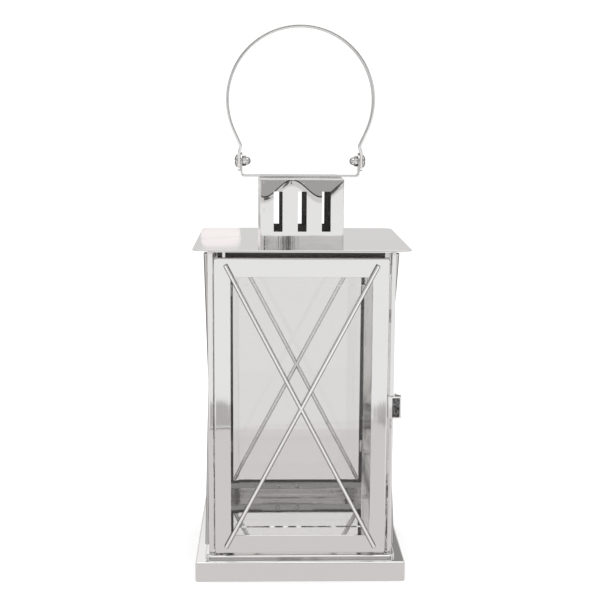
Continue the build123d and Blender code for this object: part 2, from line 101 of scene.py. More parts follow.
@dataclass(frozen=True)
class MetalFinish:
    """Bright metal: a mirror with faint polishing lines, smudges and a slow ripple of the sheet; where a rim
    colour is given, painted shade darkens it towards its silhouettes.
    """

    name: str
    tint: tuple[float, float, float] = (0.83, 0.825, 0.82)
    roughness: float = 0.035
    smudge: float = 0.05
    grain: Grain = Grain.EVEN
    line_scale: float = 900.0
    line_depth: float = 0.00001
    ripple_scale: float = 14.0
    ripple_depth: float = 0.0002
    # Base colour at the silhouettes, a painted shade; rim_start and rim_end give the facing range of the
    # blend.
    rim_painted_shade: tuple[float, float, float] | None = None
    rim_start: float = 0.35
    rim_end: float = 0.8
    dent_curve: float = 0.0
    dent_top: float = 0.3025
    dent_span: float = 0.0128
    dent_swing: float = 0.0066
    dent_wave: float = 0.045
    dent_peak: float = -0.0165

    def dent(self, tree: bpy.types.NodeTree, place: bpy.types.Node) -> bpy.types.Node:
        """Lobes pulled inward towards a height, as welding pulls thin sheet.

        The dent is -curve * d squared, where d is the height above the lobes' lower edge, and that
        edge hangs below `dent_top` by dent_span + dent_swing * cos(2 pi (x + y - dent_peak) / dent_wave).

        Args:
            tree: The material's nodes.
            place: Its texture coordinates.

        Returns:
            A bump whose normal carries the dents.
        """
        nodes, links = tree.nodes, tree.links

        def step(operation: str, first: bpy.types.NodeSocket, second: float | bpy.types.NodeSocket = 0.0
                 ) -> bpy.types.NodeSocket:
            """Add one arithmetic node.

            Args:
                operation: The node's operation.
                first: Socket that feeds its first input.
                second: Number or socket for its second input.

            Returns:
                The socket that holds its result.
            """
            node = nodes.new("ShaderNodeMath")
            node.operation = operation
            links.new(first, node.inputs[0])
            if isinstance(second, float):
                node.inputs[1].default_value = second
            else:
                links.new(second, node.inputs[1])
            return node.outputs["Value"]

        split = nodes.new("ShaderNodeSeparateXYZ")
        links.new(place.outputs["Object"], split.inputs["Vector"])
        along = step("ADD", split.outputs["X"], split.outputs["Y"])
        phase = step("MULTIPLY", step("SUBTRACT", along, self.dent_peak), 2 * np.pi / self.dent_wave)
        hang = step("MULTIPLY", step("COSINE", phase), self.dent_swing)
        depth = step("ADD", step("ADD", split.outputs["Z"], self.dent_span - self.dent_top), hang)
        height = step("MULTIPLY", step("POWER", step("MAXIMUM", depth, 0.0), 2.0), -self.dent_curve)
        bump = nodes.new("ShaderNodeBump")
        bump.inputs["Strength"].default_value = 1.0
        bump.inputs["Distance"].default_value = 1.0
        links.new(height, bump.inputs["Height"])
        return bump

    def shade_rim(self, tree: bpy.types.NodeTree, shader: bpy.types.Node) -> None:
        """Painted shade: darken the base colour where the metal turns away from the eye, standing in for the
        dark surroundings that thin bright edges mirror.

        Args:
            tree: The material's nodes.
            shader: Its surface shader.
        """
        nodes, links = tree.nodes, tree.links
        facing = nodes.new("ShaderNodeLayerWeight")
        facing.inputs["Blend"].default_value = 0.5
        ramp = nodes.new("ShaderNodeValToRGB")
        stops = ramp.color_ramp.elements
        stops[0].position, stops[0].color = self.rim_start, (*self.tint, 1.0)
        stops[1].position, stops[1].color = self.rim_end, (*self.rim_painted_shade, 1.0)
        links.new(facing.outputs["Facing"], ramp.inputs["Fac"])
        links.new(ramp.outputs["Color"], shader.inputs["Base Color"])

    def make(self) -> bpy.types.Material:
        """Build the node material.

        Returns:
            The material, whose patterns all read Object coordinates.
        """
        material = bpy.data.materials.new(self.name)
        material.use_nodes = True
        nodes, links = material.node_tree.nodes, material.node_tree.links
        shader = nodes["Principled BSDF"]
        shader.inputs["Base Color"].default_value = (*self.tint, 1.0)
        shader.inputs["Metallic"].default_value = 1.0
        # Painted shade towards the silhouettes, where a rim colour is given.
        if self.rim_painted_shade is not None:
            self.shade_rim(material.node_tree, shader)
        place = nodes.new("ShaderNodeTexCoord")

        stretch = nodes.new("ShaderNodeMapping")
        stretch.inputs["Scale"].default_value = self.grain.value
        links.new(place.outputs["Object"], stretch.inputs["Vector"])
        lines = nodes.new("ShaderNodeTexNoise")
        lines.inputs["Scale"].default_value = self.line_scale
        lines.inputs["Detail"].default_value = 2.0
        links.new(stretch.outputs["Vector"], lines.inputs["Vector"])

        film = nodes.new("ShaderNodeTexNoise")
        film.inputs["Scale"].default_value = 38.0
        film.inputs["Detail"].default_value = 5.0
        film.inputs["Roughness"].default_value = 0.62
        links.new(place.outputs["Object"], film.inputs["Vector"])
        spread = nodes.new("ShaderNodeMapRange")
        spread.inputs["From Min"].default_value = 0.42
        spread.inputs["From Max"].default_value = 0.78
        spread.inputs["To Min"].default_value = self.roughness
        spread.inputs["To Max"].default_value = self.roughness + self.smudge
        links.new(film.outputs["Fac"], spread.inputs["Value"])
        links.new(spread.outputs["Result"], shader.inputs["Roughness"])

        ripple = nodes.new("ShaderNodeTexNoise")
        ripple.inputs["Scale"].default_value = self.ripple_scale
        ripple.inputs["Detail"].default_value = 1.0
        links.new(place.outputs["Object"], ripple.inputs["Vector"])
        slow = nodes.new("ShaderNodeBump")
        slow.inputs["Strength"].default_value = 1.0
        slow.inputs["Distance"].default_value = self.ripple_depth
        links.new(ripple.outputs["Fac"], slow.inputs["Height"])
        if self.dent_curve > 0:
            links.new(self.dent(material.node_tree, place).outputs["Normal"], slow.inputs["Normal"])
        fine = nodes.new("ShaderNodeBump")
        fine.inputs["Strength"].default_value = 1.0
        fine.inputs["Distance"].default_value = self.line_depth
        links.new(lines.outputs["Fac"], fine.inputs["Height"])
        links.new(slow.outputs["Normal"], fine.inputs["Normal"])
        links.new(fine.outputs["Normal"], shader.inputs["Normal"])
        return material


@dataclass(frozen=True)
class LeafFinish:
    """Spring strip: dark and grained within a rectangle of its leaf, bright round it."""

    name: str
    middle: tuple[float, float]
    half: tuple[float, float]
    front: float
    dark: tuple[float, float, float] = (0.05, 0.05, 0.05)
    bright: tuple[float, float, float] = (0.86, 0.855, 0.85)

    def make(self) -> bpy.types.Material:
        """Build the node material.

        The mask is one where |x - middle| and |z - middle| are both within the half sizes and the
        leaf is in front of the door; noise breaks it up into grain.

        Returns:
            The material, whose mask reads Object coordinates.
        """
        material = bpy.data.materials.new(self.name)
        material.use_nodes = True
        nodes, links = material.node_tree.nodes, material.node_tree.links
        shader = nodes["Principled BSDF"]
        shader.inputs["Metallic"].default_value = 1.0
        shader.inputs["Roughness"].default_value = 0.14
        place = nodes.new("ShaderNodeTexCoord")
        split = nodes.new("ShaderNodeSeparateXYZ")
        links.new(place.outputs["Object"], split.inputs["Vector"])
        mask = None
        for axis, middle, half in (("X", self.middle[0], self.half[0]), ("Z", self.middle[1], self.half[1]),
                                   ("Y", self.front, 0.0006)):
            near = nodes.new("ShaderNodeMath")
            near.operation = "COMPARE"
            links.new(split.outputs[axis], near.inputs[0])
            near.inputs[1].default_value, near.inputs[2].default_value = middle, half
            if mask is None:
                mask = near
                continue
            both = nodes.new("ShaderNodeMath")
            both.operation = "MULTIPLY"
            links.new(mask.outputs["Value"], both.inputs[0])
            links.new(near.outputs["Value"], both.inputs[1])
            mask = both
        grain = nodes.new("ShaderNodeTexNoise")
        grain.inputs["Scale"].default_value = 900.0
        grain.inputs["Detail"].default_value = 3.0
        links.new(place.outputs["Object"], grain.inputs["Vector"])
        speck = nodes.new("ShaderNodeMapRange")
        speck.inputs["From Min"].default_value, speck.inputs["From Max"].default_value = 0.45, 0.75
        speck.inputs["To Min"].default_value, speck.inputs["To Max"].default_value = 1.0, 0.55
        links.new(grain.outputs["Fac"], speck.inputs["Value"])
        # How dark each point is: the rectangle's mask times the grain speckle.
        dark_share = nodes.new("ShaderNodeMath")
        dark_share.operation = "MULTIPLY"
        links.new(mask.outputs["Value"], dark_share.inputs[0])
        links.new(speck.outputs["Result"], dark_share.inputs[1])
        tone = nodes.new("ShaderNodeValToRGB")
        stops = tone.color_ramp.elements
        stops[0].color, stops[1].color = (*self.bright, 1.0), (*self.dark, 1.0)
        links.new(dark_share.outputs["Value"], tone.inputs["Fac"])
        links.new(tone.outputs["Color"], shader.inputs["Base Color"])
        return material


@dataclass(frozen=True)
class GlassFinish:
    """Clear pane: slightly grey-green glass with a faint dust film in its roughness."""

    name: str
    tint: tuple[float, float, float] = (0.925, 0.925, 0.92)
    refraction: float = 1.5
    haze: float = 0.012

    def make(self) -> bpy.types.Material:
        """Build the node material.

        Returns:
            The material, whose film reads Object coordinates.
        """
        material = bpy.data.materials.new(self.name)
        material.use_nodes = True
        nodes, links = material.node_tree.nodes, material.node_tree.links
        shader = nodes["Principled BSDF"]
        shader.inputs["Base Color"].default_value = (*self.tint, 1.0)
        shader.inputs["Transmission Weight"].default_value = 1.0
        shader.inputs["IOR"].default_value = self.refraction
        place = nodes.new("ShaderNodeTexCoord")
        film = nodes.new("ShaderNodeTexNoise")
        film.inputs["Scale"].default_value = 22.0
        film.inputs["Detail"].default_value = 4.0
        links.new(place.outputs["Object"], film.inputs["Vector"])
        spread = nodes.new("ShaderNodeMapRange")
        spread.inputs["From Min"].default_value = 0.5
        spread.inputs["From Max"].default_value = 0.8
        spread.inputs["To Min"].default_value = 0.0
        spread.inputs["To Max"].default_value = self.haze
        links.new(film.outputs["Fac"], spread.inputs["Value"])
        links.new(spread.outputs["Result"], shader.inputs["Roughness"])
        return material


@dataclass(frozen=True)
class GlowFinish:
    """Plain light-giving surface for the studio's cards, which only reflections see."""

    name: str
    colour: tuple[float, float, float]
    strength: float = 1.0

    def make(self) -> bpy.types.Material:
        """Build the emission material.

        Returns:
            The material.
        """
        material = bpy.data.materials.new(self.name)
        material.use_nodes = True
        nodes, links = material.node_tree.nodes, material.node_tree.links
        nodes.remove(nodes["Principled BSDF"])
        glow = nodes.new("ShaderNodeEmission")
        glow.inputs["Color"].default_value = (*self.colour, 1.0)
        glow.inputs["Strength"].default_value = self.strength
        links.new(glow.outputs["Emission"], nodes["Material Output"].inputs["Surface"])
        return material


@dataclass(frozen=True)
class Finishes:
    """Every material of the lantern, made once and shared."""

    panel: bpy.types.Material
    roof: bpy.types.Material
    chimney: bpy.types.Material
    tray: bpy.types.Material
    rod: bpy.types.Material
    strap: bpy.types.Material
    fastener: bpy.types.Material
    spring: bpy.types.Material
    sooty: bpy.types.Material
    satin: bpy.types.Material
    glass: bpy.types.Material

    @classmethod
    def make(cls) -> "Finishes":
        """Build every material.

        Returns:
            The set of materials.
        """
        # The rim colours below are painted shade at each finish's silhouettes; on the rod, with its
        # near-white tint, they give a bright core and dark edges.
        return cls(
            panel=MetalFinish("mirror_panel", grain=Grain.UPRIGHT).make(),
            roof=MetalFinish("mirror_roof", grain=Grain.FLAT, ripple_scale=9.0).make(),
            chimney=MetalFinish("mirror_chimney", grain=Grain.UPRIGHT, ripple_scale=34.0,
                                ripple_depth=0.0002, rim_painted_shade=(0.12, 0.118, 0.116), rim_start=0.86,
                                rim_end=0.97, dent_curve=8.0).make(),
            tray=MetalFinish("mirror_tray", grain=Grain.ACROSS, ripple_scale=11.0,
                             rim_painted_shade=(0.06, 0.058, 0.056), rim_start=0.78, rim_end=0.93).make(),
            rod=MetalFinish("drawn_rod", tint=(0.97, 0.965, 0.96), rim_painted_shade=(0.07, 0.069, 0.068),
                            rim_start=0.08, rim_end=0.52, roughness=0.09, smudge=0.06,
                            line_scale=2600.0, line_depth=0.00002, ripple_depth=0.00002).make(),
            strap=MetalFinish("bright_strap", tint=(0.86, 0.855, 0.85), rim_painted_shade=(0.16, 0.158, 0.156),
                              rim_start=0.25, rim_end=0.7, roughness=0.07, ripple_depth=0.00003).make(),
            fastener=MetalFinish("plated_fastener", tint=(0.80, 0.795, 0.79), rim_painted_shade=(0.05, 0.049, 0.048),
                                 rim_start=0.10, rim_end=0.58, roughness=0.10, smudge=0.1,
                                 line_scale=1800.0, line_depth=0.00002, ripple_depth=0.00002).make(),
            spring=LeafFinish("spring_strip", middle=(0.0716, 0.1341), half=(0.0029, 0.0074),
                              front=-0.0720).make(),
            satin=MetalFinish("satin_rail", tint=(0.93, 0.925, 0.92), roughness=0.42, smudge=0.0).make(),
            # Dark, dull steel as painted shade: the chimney's inside and the stop behind the door's top.
            sooty=MetalFinish("painted_shade_inside", tint=(0.15, 0.147, 0.144), roughness=0.3, smudge=0.2,
                              ripple_depth=0.0001).make(),
            glass=GlassFinish("clear_pane").make(),
        )


# Surfaces -----------------------------------------------------------------------------------


@dataclass
class Surface:
    """A mesh under construction: stacked vertex blocks and the faces that join them."""

    points: list[Array] = field(default_factory=list)
    faces: list[Face] = field(default_factory=list)
    count: int = 0

    def add_points(self, block: Array) -> int:
        """Stack a block of vertices.

        Args:
            block: Points, its last axis x, y, z.

        Returns:
            The number of the block's first vertex.
        """
        first = self.count
        self.points.append(block.reshape(-1, 3))
        self.count += len(self.points[-1])
        return first

    def add_grid(self, block: Array, wrap_u: bool = False, wrap_v: bool = False) -> int:
        """Add a grid of points and its quads; quad (u, v) joins rows u, u+1 and columns v, v+1.

        Args:
            block: Points, shape (rows, columns, 3).
            wrap_u: Join the last row to the first.
            wrap_v: Join the last column to the first.

        Returns:
            The number of the grid's first vertex.
        """
        rows, columns = block.shape[:2]
        first = self.add_points(block)
        u = np.arange(rows if wrap_u else rows - 1)[:, None]
        v = np.arange(columns if wrap_v else columns - 1)[None, :]
        next_u, next_v = (u + 1) % rows, (v + 1) % columns
        corners = (u * columns + v, next_u * columns + v, next_u * columns + next_v, u * columns + next_v)
        quads = np.stack([np.broadcast_to(c, (u.size, v.size)) for c in corners], -1).reshape(-1, 4)
        self.faces.extend((quads + first).tolist())
        return first

    def turn(self, angle: float) -> None:
        """Turn every vertex about the lantern's upright axis: each row times a rotation matrix.

        Args:
            angle: Turn in radians, anticlockwise from above.
        """
        cos, sin = np.cos(angle), np.sin(angle)
        matrix = np.array([[cos, sin, 0.0], [-sin, cos, 0.0], [0.0, 0.0, 1.0]])
        self.points = [block @ matrix for block in self.points]

    def cap(self, loop: Array) -> None:
        """Close a loop of vertex numbers with one flat face."""
        self.faces.append(loop.tolist())

    def finish(self, name: str, material: bpy.types.Material, body: Body, slot: Slot,
               stands_for: Sequence[str] = (),
               lining: tuple[bpy.types.Material, int, int] | None = None) -> bpy.types.Object:
        """Turn the surface into an object of the lantern.

        Args:
            name: The object's name.
            material: Its finish.
            body: The body that it rides on.
            slot: Its material slot in the record; not used.
            stands_for: Nodes that it replaces.
            lining: A second finish, with the first and last-plus-one face that wear it.

        Returns:
            The new object, at the origin, with its place in its mesh.
        """
        mesh = bpy.data.meshes.new(name)
        mesh.from_pydata(np.concatenate(self.points), [], self.faces)
        mesh.polygons.foreach_set("use_smooth", np.ones(len(mesh.polygons), dtype=bool))
        mesh.validate()
        outward(mesh)
        mesh.set_sharp_from_angle(angle=SHARP_ANGLE)
        mesh.materials.append(material)
        if lining is not None:
            mesh.materials.append(lining[0])
            wears = np.zeros(len(mesh.polygons), dtype=np.int32)
            wears[lining[1]:lining[2]] = 1
            mesh.polygons.foreach_set("material_index", wears)
        piece = bpy.data.objects.new(name, mesh)
        bpy.context.scene.collection.objects.link(piece)
        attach(piece, body.value)
        if stands_for:
            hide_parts(*stands_for)
        log.info("%s: %d faces, rides on %s", name, len(mesh.polygons), body.value)
        return piece


def outward(mesh: bpy.types.Mesh) -> None:
    """Turn a closed mesh right side out: its signed volume, the sum of each face fan's
    tetrahedra with the origin, is made positive.

    Args:
        mesh: The mesh, changed in place.
    """
    count = len(mesh.loops)
    corner = np.empty(count, dtype=np.int32)
    mesh.loops.foreach_get("vertex_index", corner)
    place = np.empty(len(mesh.vertices) * 3)
    mesh.vertices.foreach_get("co", place)
    place = place.reshape(-1, 3)
    start = np.empty(len(mesh.polygons), dtype=np.int32)
    size = np.empty(len(mesh.polygons), dtype=np.int32)
    mesh.polygons.foreach_get("loop_start", start)
    mesh.polygons.foreach_get("loop_total", size)
    owner = np.repeat(np.arange(len(size)), size)
    following = np.arange(count) + 1
    following = np.where(following == (start + size)[owner], start[owner], following)
    hub = place[corner[start[owner]]]
    volume = np.einsum("ij,ij->i", hub, np.cross(place[corner], place[corner[following]])).sum()
    if volume < 0:
        mesh.flip_normals()


def rounded_path(points: Sequence[Sequence[float]], radius: float | Sequence[float], steps: int = 5,
                 support: float = 0.0, closed: bool = False) -> Array:
    """Polyline with arcs at its corners.

    At a corner with unit directions a (in) and b (out) and turn angle t, the arc of radius r leaves
    the first leg at r * tan(t / 2) before the corner; its points are centre + r * (cos, sin) swept
    from one leg's normal to the other's. An extra support point stands just before and after it.

    Args:
        points: Corner points, each of two coordinates.
        radius: One radius for all the corners, or one for each point.
        steps: Segments in each arc.
        support: Distance of the support points from the arc's ends; none when zero.
        closed: Round the first and last points too, as one loop.

    Returns:
        The path's points, shape (n, 2).
    """
    corners = np.asarray(points, dtype=float)
    total = len(corners)
    radii = np.broadcast_to(np.asarray(radius, dtype=float), total)
    pieces = []
    for index in range(total):
        here = corners[index]
        inner = closed or 0 < index < total - 1
        if not inner or radii[index] <= 0:
            pieces.append(here[None])
            continue
        into = here - corners[index - 1]
        out = corners[(index + 1) % total] - here
        into, out = into / np.linalg.norm(into), out / np.linalg.norm(out)
        cross = into[0] * out[1] - into[1] * out[0]
        turn = np.arctan2(cross, into @ out)
        side = np.sign(turn)
        reach = radii[index] * np.tan(abs(turn) / 2)
        centre = here - into * reach + side * radii[index] * np.array([-into[1], into[0]])
        first = np.arctan2(*((here - into * reach - centre)[::-1]))
        sweep = first + np.linspace(0.0, turn, steps + 1)
        arc = centre + radii[index] * np.stack([np.cos(sweep), np.sin(sweep)], -1)
        if support > 0:
            arc = np.concatenate([[here - into * (reach + support)], arc, [here + out * (reach + support)]])
        pieces.append(arc)
    return np.concatenate(pieces)


def ring(half_x: Array, half_y: Array, radius: Array, steps: int = 5, straight: int = 1) -> Array:
    """Rounded rectangles about the origin, one for each entry of the arrays, counter-clockwise.

    A corner's points are its centre (half - radius) plus radius * (cos, sin); every side has the
    same number of straight segments between its corners.

    Args:
        half_x: Half widths.
        half_y: Half heights.
        radius: Corner radii.
        steps: Segments in each corner.
        straight: Segments along each straight side.

    Returns:
        Points of shape (entries, points, 2).
    """
    half_x, half_y, radius = (np.atleast_1d(np.asarray(v, dtype=float)) for v in (half_x, half_y, radius))
    angle = np.concatenate([np.linspace(0.0, QUARTER, steps + 1) + k * QUARTER for k in range(4)])
    sign_x = np.repeat([1.0, -1.0, -1.0, 1.0], steps + 1)
    sign_y = np.repeat([1.0, 1.0, -1.0, -1.0], steps + 1)
    x = sign_x * (half_x - radius)[:, None] + radius[:, None] * np.cos(angle)
    y = sign_y * (half_y - radius)[:, None] + radius[:, None] * np.sin(angle)
    loop = np.stack([x, y], -1)
    if straight <= 1:
        return loop
    share = np.linspace(0.0, 1.0, straight + 1)[1:-1]
    parts = []
    for k in range(4):
        corner = loop[:, k * (steps + 1):(k + 1) * (steps + 1)]
        ahead = loop[:, ((k + 1) % 4) * (steps + 1)]
        last = corner[:, -1]
        parts.append(corner)
        parts.append(last[:, None] + share[None, :, None] * (ahead - last)[:, None])
    return np.concatenate(parts, axis=1)


@dataclass(frozen=True)
class Pose2D:
    """A flat plane in space: an origin, a direction along it, a direction up it and its normal."""

    origin: tuple[float, float, float]
    along: tuple[float, float, float]
    up: tuple[float, float, float]
    normal: tuple[float, float, float]

    def place(self, along: Array, up: Array, out: Array) -> Array:
        """Points origin + along * A + up * U + out * N, for arrays of equal shape."""
        basis = np.array([self.along, self.up, self.normal])
        return np.asarray(self.origin) + np.stack(np.broadcast_arrays(along, up, out), -1) @ basis


def slab(half_x: float, half_y: float, corner: float, profile: Array, plane: Pose2D,
         steps: int = 6) -> Surface:
    """A profile of (outward offset, depth) carried round a rounded rectangle and closed at both
    ends with flat faces: a plate, a pane or a pan.

    Args:
        half_x: Half width at offset zero.
        half_y: Half height at offset zero.
        corner: Corner radius at offset zero.
        profile: Rows of (offset, out), from the middle of one flat face to the middle of the other.
        plane: Where the rectangle lies.
        steps: Segments in each corner.

    Returns:
        The closed surface.
    """
    offset, out = profile[:, 0], profile[:, 1]
    radius = np.maximum(corner + offset, 0.15 * MM)
    loops = ring(half_x + offset, half_y + offset, radius, steps)
    block = plane.place(loops[..., 0], loops[..., 1], np.broadcast_to(out[:, None], loops.shape[:2]))
    surface = Surface()
    first = surface.add_grid(block, wrap_v=True)
    rows, columns = block.shape[:2]
    surface.cap(first + np.arange(columns)[::-1])
    surface.cap(first + (rows - 1) * columns + np.arange(columns))
    return surface


@dataclass(frozen=True)
class Window:
    """Rounded rectangle in a plane: centre, half sizes and corner radius."""

    centre: tuple[float, float]
    half: tuple[float, float]
    corner: float


def framed_sheet(inner: Window, outer: Window, plane: Pose2D, thickness: float, fold: float,
                 flange: Callable[[Array, Array], Array], straight: int = 24) -> Surface:
    """Sheet with a window, folded back all round its outer edge.

    Each ring point blends from the window's edge (share 0) to the outer edge (share 1) in a straight
    line. Around the outer edge the section turns through a quarter circle of radius `fold` and then
    runs back by the local flange length; the inner skin follows one thickness inside.

    Args:
        inner: The window.
        outer: The outer edge.
        plane: The sheet's outer face.
        thickness: Sheet thickness.
        fold: Outside radius of the fold.
        flange: Depth of the flange for arrays of (along, up), measured from the outer face.
        straight: Segments along each side.

    Returns:
        The closed surface.
    """
    lip = 0.15 * MM
    inside = ring(np.array([inner.half[0]]), np.array([inner.half[1]]),
                  np.array([inner.corner]), 5, straight)[0]
    outside = ring(np.array([outer.half[0]]), np.array([outer.half[1]]),
                   np.array([outer.corner]), 5, straight)[0]
    inside = inside + np.asarray(inner.centre)
    outside = outside + np.asarray(outer.centre)
    width = np.linalg.norm(outside - inside, axis=1)
    depth = flange(outside[:, 0], outside[:, 1])
    turn = np.linspace(0.0, QUARTER, 6)
    back, zero = np.ones_like(turn), np.zeros_like(turn)
    skin = fold - thickness
    # columns: share 0 or 1 anchor, offset from it towards the outer edge, depth, share of flange
    outer_skin = np.concatenate([
        [[0.0, 0.0, -lip, 0.0], [0.0, lip, 0.0, 0.0], [0.0, 3 * lip, 0.0, 0.0]],
        [[1.0, -fold - lip, 0.0, 0.0]],
        np.stack([back, fold * (np.sin(turn) - 1), -fold * (1 - np.cos(turn)), zero], -1),
        [[1.0, 0.0, -fold - lip, 0.0], [1.0, 0.0, lip, 1.0], [1.0, -lip, 0.0, 1.0]],
    ])
    inner_skin = np.concatenate([
        [[1.0, -thickness + lip, 0.0, 1.0], [1.0, -thickness, lip, 1.0]],
        [[1.0, -thickness, -fold - lip, 0.0]],
        np.stack([back, -thickness - skin * (1 - np.cos(turn)), -fold + skin * np.sin(turn), zero], -1),
        [[1.0, -fold - lip, -thickness, 0.0], [0.0, 3 * lip, -thickness, 0.0],
         [0.0, lip, -thickness, 0.0], [0.0, 0.0, -thickness + lip, 0.0]],
    ])
    section = np.concatenate([outer_skin, inner_skin])
    anchor, offset, drop, full = (section[:, k][None, :] for k in range(4))
    share = anchor + offset / width[:, None]
    spot = inside[:, None] + share[..., None] * (outside - inside)[:, None]
    out = np.where(full > 0, -np.maximum(depth, fold + 2 * lip)[:, None] + drop, drop)
    surface = Surface()
    surface.add_grid(plane.place(spot[..., 0], spot[..., 1], out), wrap_u=True, wrap_v=True)
    return surface


def strip(path: Array, width: Callable[[Array], Array] | float, thickness: float, edge: float,
          plane: Pose2D) -> Surface:
    """Flat strip bent along a path: a rounded rectangle section carried along it.

    The path lies in the plane's along and out directions; the strip's width runs along `up`. The
    section's corners are arcs of radius `edge`, and the local direction of the path is the mean of
    the directions before and after each point, so the wall keeps its thickness round a bend.

    Args:
        path: Centre line, shape (n, 2), as (along, out).
        width: Width for an array of distances along the path, or one width.
        thickness: Strip thickness.
        edge: Radius of the section's corners.
        plane: The plane that the path lies in.

    Returns:
        The closed surface.
    """
    step = np.diff(path, axis=0)
    length = np.linalg.norm(step, axis=1)
    unit = step / length[:, None]
    mean = np.concatenate([unit[:1], unit[:-1] + unit[1:], unit[-1:]])
    mean /= np.linalg.norm(mean, axis=1)[:, None]
    lean = np.concatenate([[1.0], np.einsum("ij,ij->i", unit[:-1], mean[1:-1]), [1.0]])
    side = np.stack([-mean[:, 1], mean[:, 0]], -1) / lean[:, None]
    travelled = np.concatenate([[0.0], np.cumsum(length)])
    wide = width(travelled) if callable(width) else np.full(len(path), width)
    section = ring(thickness / 2 * np.ones(1), np.ones(1), np.zeros(1), 4)[0]
    angle = np.concatenate([np.linspace(0.0, QUARTER, 5) + k * QUARTER for k in range(4)])
    sign = np.sign(section + 1e-12)
    small = np.minimum(edge, wide / 2 - 0.001 * MM)[:, None]
    across = sign[None, :, 0] * (thickness / 2 - small) + small * np.cos(angle)
    upward = sign[None, :, 1] * (wide[:, None] / 2 - small) + small * np.sin(angle)
    spot = path[:, None] + across[..., None] * side[:, None]
    surface = Surface()
    block = plane.place(spot[..., 0], upward, spot[..., 1])
    first = surface.add_grid(block, wrap_v=True)
    rows, columns = block.shape[:2]
    surface.cap(first + np.arange(columns)[::-1])
    surface.cap(first + (rows - 1) * columns + np.arange(columns))
    return surface


def turned(profile: Array, origin: Array, axis: Array, sides: int = 40,
           shape: Callable[[Array, Array, Array], Array] | None = None) -> Surface:
    """Surface of revolution: each profile row (distance along the axis, radius) becomes a circle.

    Args:
        profile: Rows of (distance, radius), ending on the axis at both ends or closed by flat faces.
        origin: A point on the axis.
        axis: The axis direction.
        sides: Points round the axis.
        shape: Optional change of the radii, given distance, angle and radius arrays.

    Returns:
        The closed surface.
    """
    axis = axis / np.linalg.norm(axis)
    helper = np.array([0.0, 1.0, 0.0]) if abs(axis[1]) < 0.9 else np.array([1.0, 0.0, 0.0])
    first_way = np.cross(axis, helper)
    first_way /= np.linalg.norm(first_way)
    second_way = np.cross(axis, first_way)
    angle = np.linspace(0.0, 2 * np.pi, sides, endpoint=False)[None, :]
    along, radius = profile[:, 0][:, None], np.broadcast_to(profile[:, 1][:, None], (len(profile), sides))
    if shape is not None:
        radius = shape(along, angle, radius)
    block = (origin + (along + 0 * angle)[..., None] * axis
             + (radius * np.cos(angle))[..., None] * first_way
             + (radius * np.sin(angle))[..., None] * second_way)
    surface = Surface()
    first = surface.add_grid(block, wrap_v=True)
    rows = len(profile)
    surface.cap(first + np.arange(sides)[::-1])
    surface.cap(first + (rows - 1) * sides + np.arange(sides))
    return surface


def node_box(node: str) -> tuple[Array, Array]:
    """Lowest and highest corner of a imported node, as arrays."""
    low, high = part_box(node)
    return np.array(low), np.array(high)


# Sub-assemblies -----------------------------------------------------------------------------


@dataclass
class Base:
    """Base tray and the floor pan that stands on it, both inverted pans."""

    finishes: Finishes
    sheet: float = 0.8 * MM
    fold: float = 1.3 * MM
    tray_corner: float = 1.6 * MM
    pan_corner: float = 6.0 * MM
    hem: float = 6.0 * MM

    def pan_profile(self, height: float, hem: float) -> Array:
        """Section of an inverted pan: flat top, rounded fold, side, then back up the inside.

        Args:
            height: Height of the pan's top above its rim.
            hem: Width of the inturned rim, or zero.

        Returns:
            Rows of (offset from the outer side, height above the rim).
        """
        fold = min(self.fold, height / 2)
        inner = max(fold - self.sheet, 0.1 * MM)
        outside = rounded_path([(-12 * MM, height), (0.0, height), (0.0, 0.0), (-hem, 0.0)] if hem else
                               [(-12 * MM, height), (0.0, height), (0.0, 0.0), (-self.sheet, 0.0)],
                               [0, fold, 0.3 * MM, 0], 5, support=0.2 * MM)
        wall = -self.sheet
        under = height - self.sheet
        rim = [(-hem, self.sheet), (wall, self.sheet)] if hem else []
        inside = rounded_path([*rim, (wall, under), (-12 * MM, under)] if hem else
                              [(wall, 0.1 * MM), (wall, under), (-12 * MM, under)],
                              [0, 0.1 * MM, inner, 0] if hem else [0, inner, 0], 4)
        return np.concatenate([outside, inside])

    def build_pan(self, node: str, corner: float, hem: float) -> None:
        """Make one inverted pan in the place of its node.

        Args:
            node: The node that it replaces.
            corner: Radius of its corners.
            hem: Width of the rim turned in at its foot; none when zero.
        """
        low, high = node_box(node)
        plane = Pose2D((0.0, 0.0, low[2]), (1, 0, 0), (0, 1, 0), (0, 0, 1))
        half = (high[0] - low[0]) / 2
        surface = slab(half, half, corner, self.pan_profile(high[2] - low[2], hem), plane)
        surface.finish(f"{node}_sheet", self.finishes.tray, Body.LANTERN, Slot.SHEET, [node])

    def build(self) -> None:
        """Make the tray and the floor pan."""
        self.build_pan("base_tray", self.tray_corner, self.hem)
        self.build_pan("floor_pan", self.pan_corner, 0.0)


